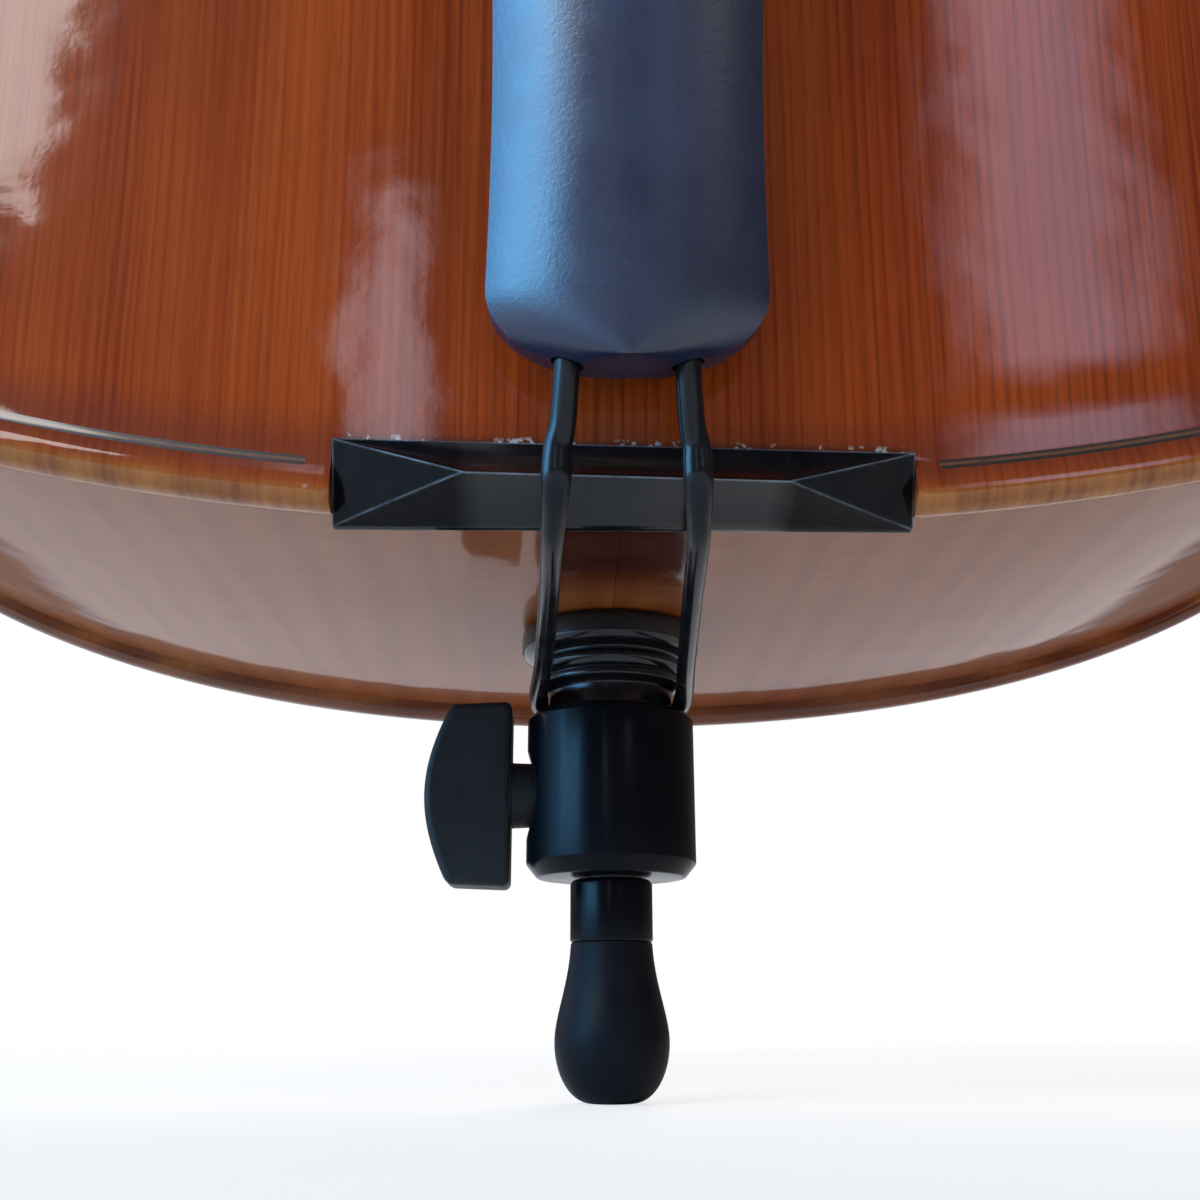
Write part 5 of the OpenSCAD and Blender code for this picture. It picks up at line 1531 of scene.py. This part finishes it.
def bridge():
    loops = bridge_loops()
    points, edges = [], []
    for loop in loops:
        edges += loop_edges(len(points), len(loop))
        points += loop
    outline, *holes = map(np.array, loops)
    xs, heights = np.meshgrid(np.arange(-44, 45, 4.0), np.arange(-4, BRIDGE_H, 4.0))
    grid = np.c_[xs.ravel(), heights.ravel()]
    distance, inside = edge_distance(grid, outline)
    clear = inside & (distance > 1.2)
    for hole in holes:
        distance, inside = edge_distance(grid, hole)
        clear &= ~inside & (distance > 1.2)
    flat, faces = triangulate(points + list(grid[clear]), edges)
    centre = flat[faces].mean(1)
    _, keep = edge_distance(centre, outline)
    for hole in holes:
        keep &= ~edge_distance(centre, hole)[1]
    used, faces = compact(len(flat), faces[keep])
    x, height = flat[used].T
    half = np.interp(height, [0, 20, 55, BRIDGE_H], [5.5, 4.9, 3.2, 1.4])
    belly = 0.35 * np.sin(np.pi * np.clip(height / BRIDGE_H, 0, 1))
    y = BRIDGE_FOOT_Y - height
    ob = shell("bridge_carved", np.c_[x, y, BRIDGE_Z + (half + belly)],
               np.c_[x, y, BRIDGE_Z - half], faces, "bridge_maple")
    bevel(ob, 0.45, segments=2, angle=50)
    piece(ob, "bridge")


bridge()

# ------------------------------------------------------------------ CAD pieces shown as they are
BEVEL_WIDTHS = {"nut": 0.5, "tuner": 0.35, "tailgut_nuts": 0.25, "clamp": 0.4, "peg": 0.5}
shown = {node: ob for node, ob in frame["nodes"].items() if not ob.hide_render}
for node, ob in shown.items():
    mesh = ob.data
    mesh.materials.clear()
    mesh.materials.append(MATERIALS[SLOT_OF[node]])
    mesh.polygons.foreach_set("material_index", [0] * len(mesh.polygons))
    shade_smooth(mesh)
    ob.modifiers.new("weld", "WELD").merge_threshold = 1e-6
    width = next((width for start, width in BEVEL_WIDTHS.items()
                  if node.startswith(start) and "screw" not in node), None)
    if width:
        bevel(ob, width, segments=2, angle=35)
    ob.modifiers.new("split", "EDGE_SPLIT").split_angle = math.radians(32)


# ------------------------------------------------------------------ floor
def floor_paint():
    """Paint that turns into the white backdrop away from the instrument."""
    m = Material("floor_paint")
    colour = m.tint((0.94, 0.875, 0.79), (0.91, 0.845, 0.76),
                    amount=m.remap(m.noise(3.0, detail=4), over=(0.35, 0.7)))
    paint = m.finish(colour=colour, rough=0.75, specular=0.2, normal=m.bump(
        m.noise(500, detail=2), strength=0.04, distance=0.0001))
    away = m.new("VectorMath", {0: m.place}, output="Value", operation="LENGTH")
    far = m.remap(away, over=(0.14, 0.80), to=(0.70, 1.0), smooth=True)
    white = m.new("Emission", {0: (1, 1, 1), 1: 1.0})
    # it is plain white for the camera only, so it lights nothing
    seen = m.times(far, m.new("LightPath", output="Is Camera Ray"))
    m.put(m.tree.nodes["Material Output"].inputs[0],
          m.new("MixShader", {0: seen, 1: paint, 2: white}))


floor_paint()
FLOOR_HALF, FLOOR_Z = 9000, -0.05
floor = add("floor", [(x * FLOOR_HALF, y * FLOOR_HALF, FLOOR_Z)
                      for x, y in ((-1, -1), (1, -1), (1, 1), (-1, 1))],
            [(0, 1, 2, 3)], "floor_paint", smooth=False)
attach(floor, BODY_OF["tip_rubber"])        # the tip always stands on the floor


# ------------------------------------------------------------------ world
def make_world(scene):
    """A dim room with soft windows that lights the scene; the camera itself sees white."""
    world = scene.world = bpy.data.worlds.new("room")
    world.use_nodes = True
    w = Nodes(world.node_tree)
    w.tree.nodes.clear()
    x, y, z = w.new("SeparateXYZ", {0: w.new("TexCoord", output="Generated")}).node.outputs

    def window(azimuth, elevation, half_width, half_height, soft=0.06):
        """Soft rectangle of light: degrees from -Y and from the horizon, soft in radians."""
        def band(angle, centre, half):
            off = w.math("ABSOLUTE", w.math("SUBTRACT", angle, math.radians(centre)))
            half = math.radians(half)
            return w.remap(off, over=(half - soft, half + soft), to=(1, 0), smooth=True)
        return w.times(band(w.math("ARCTAN2", x, w.times(y, -1.0)), azimuth, half_width),
                       band(w.math("ARCSINE", z), elevation, half_height))

    room = w.tint((0.17, 0.145, 0.125), (0.055, 0.058, 0.068),
                  amount=w.remap(z, over=(-0.25, 0.9), smooth=True))
    # window: azimuth, elevation, half width, half height and softness, then its colour
    for place, colour in (((-66, 20, 26, 24, 0.2), (0.9, 2.7, 5.4)),
                          ((23, 22, 4, 8, 0.04), (3.0, 2.8, 3.9)),
                          ((-9, 15, 1.3, 8, 0.02), (4.2, 4.2, 5.0)),
                          ((-14, 62, 4, 9), (3.0, 3.0, 3.3)),
                          ((160, 40, 30, 20), (1.9, 1.9, 1.9)),
                          ((-120, 30, 18, 20), (1.8, 1.9, 2.1))):
        room = w.tint(room, colour, amount=window(*place))
    mixed = w.new("MixShader", {0: w.new("LightPath", output="Is Camera Ray"),
                                1: w.new("Background", {0: room, 1: 1.0}),
                                2: w.new("Background", {0: (1, 1, 1), 1: 1.0})})
    w.put(w.tree.nodes.new("ShaderNodeOutputWorld").inputs[0], mixed)


scene = bpy.context.scene
make_world(scene)


# ------------------------------------------------------------------ lights and camera, in metres
def area(name, at, to, size, power, color):
    light = bpy.data.lights.new(name, "AREA")
    light.shape = "RECTANGLE"
    light.size, light.size_y = size
    light.energy = power
    light.color = color
    ob = bpy.data.objects.new(name, light)
    SCENE_ITEMS.objects.link(ob)
    ob.location = at
    ob.rotation_mode = "QUATERNION"
    ob.rotation_quaternion = (Vector(to) - Vector(at)).to_track_quat("-Z", "Y")


area("key", at=(-1.9, -2.2, 2.1), to=(0, 0, 0.35), size=(1.6, 1.3), power=60,
     color=(1.0, 0.97, 0.93))
area("sky", at=(-1.22, -0.72, 0.48), to=(0, 0, 0.12), size=(0.8, 0.7), power=12,
     color=(0.20, 0.62, 1.0))
area("fill", at=(2.3, -1.7, 1.9), to=(0, 0, 0.5), size=(1.2, 1.2), power=9,
     color=(1.0, 0.93, 0.85))
area("back", at=(0.8, 2.6, 2.0), to=(0, 0, 0.5), size=(1.8, 1.3), power=55,
     color=(1.0, 0.98, 0.95))


def camera(at, pitch, yaw, roll, lens):
    """Camera that looks towards +Y before it is pitched up and turned; angles in degrees."""
    data = bpy.data.cameras.new("photo_camera")
    ob = bpy.data.objects.new("photo_camera", data)
    SCENE_ITEMS.objects.link(ob)
    data.sensor_width = 36
    data.lens = lens
    data.clip_start, data.clip_end = 0.01, 60
    forward = (Matrix.Rotation(math.radians(yaw), 3, "Z")
               @ Matrix.Rotation(math.radians(pitch), 3, "X") @ Vector((0, 1, 0)))
    ob.rotation_mode = "QUATERNION"
    ob.location = at
    ob.rotation_quaternion = (forward.to_track_quat("-Z", "Y")
                              @ Matrix.Rotation(math.radians(roll), 3, "Z").to_quaternion())
    scene.camera = ob


camera(at=(-0.00684, -0.21717, 0.01299), pitch=17.748, yaw=-1.351, roll=-0.155, lens=39.0)
scene.view_settings.view_transform = "Standard"
scene.view_settings.look = "None"
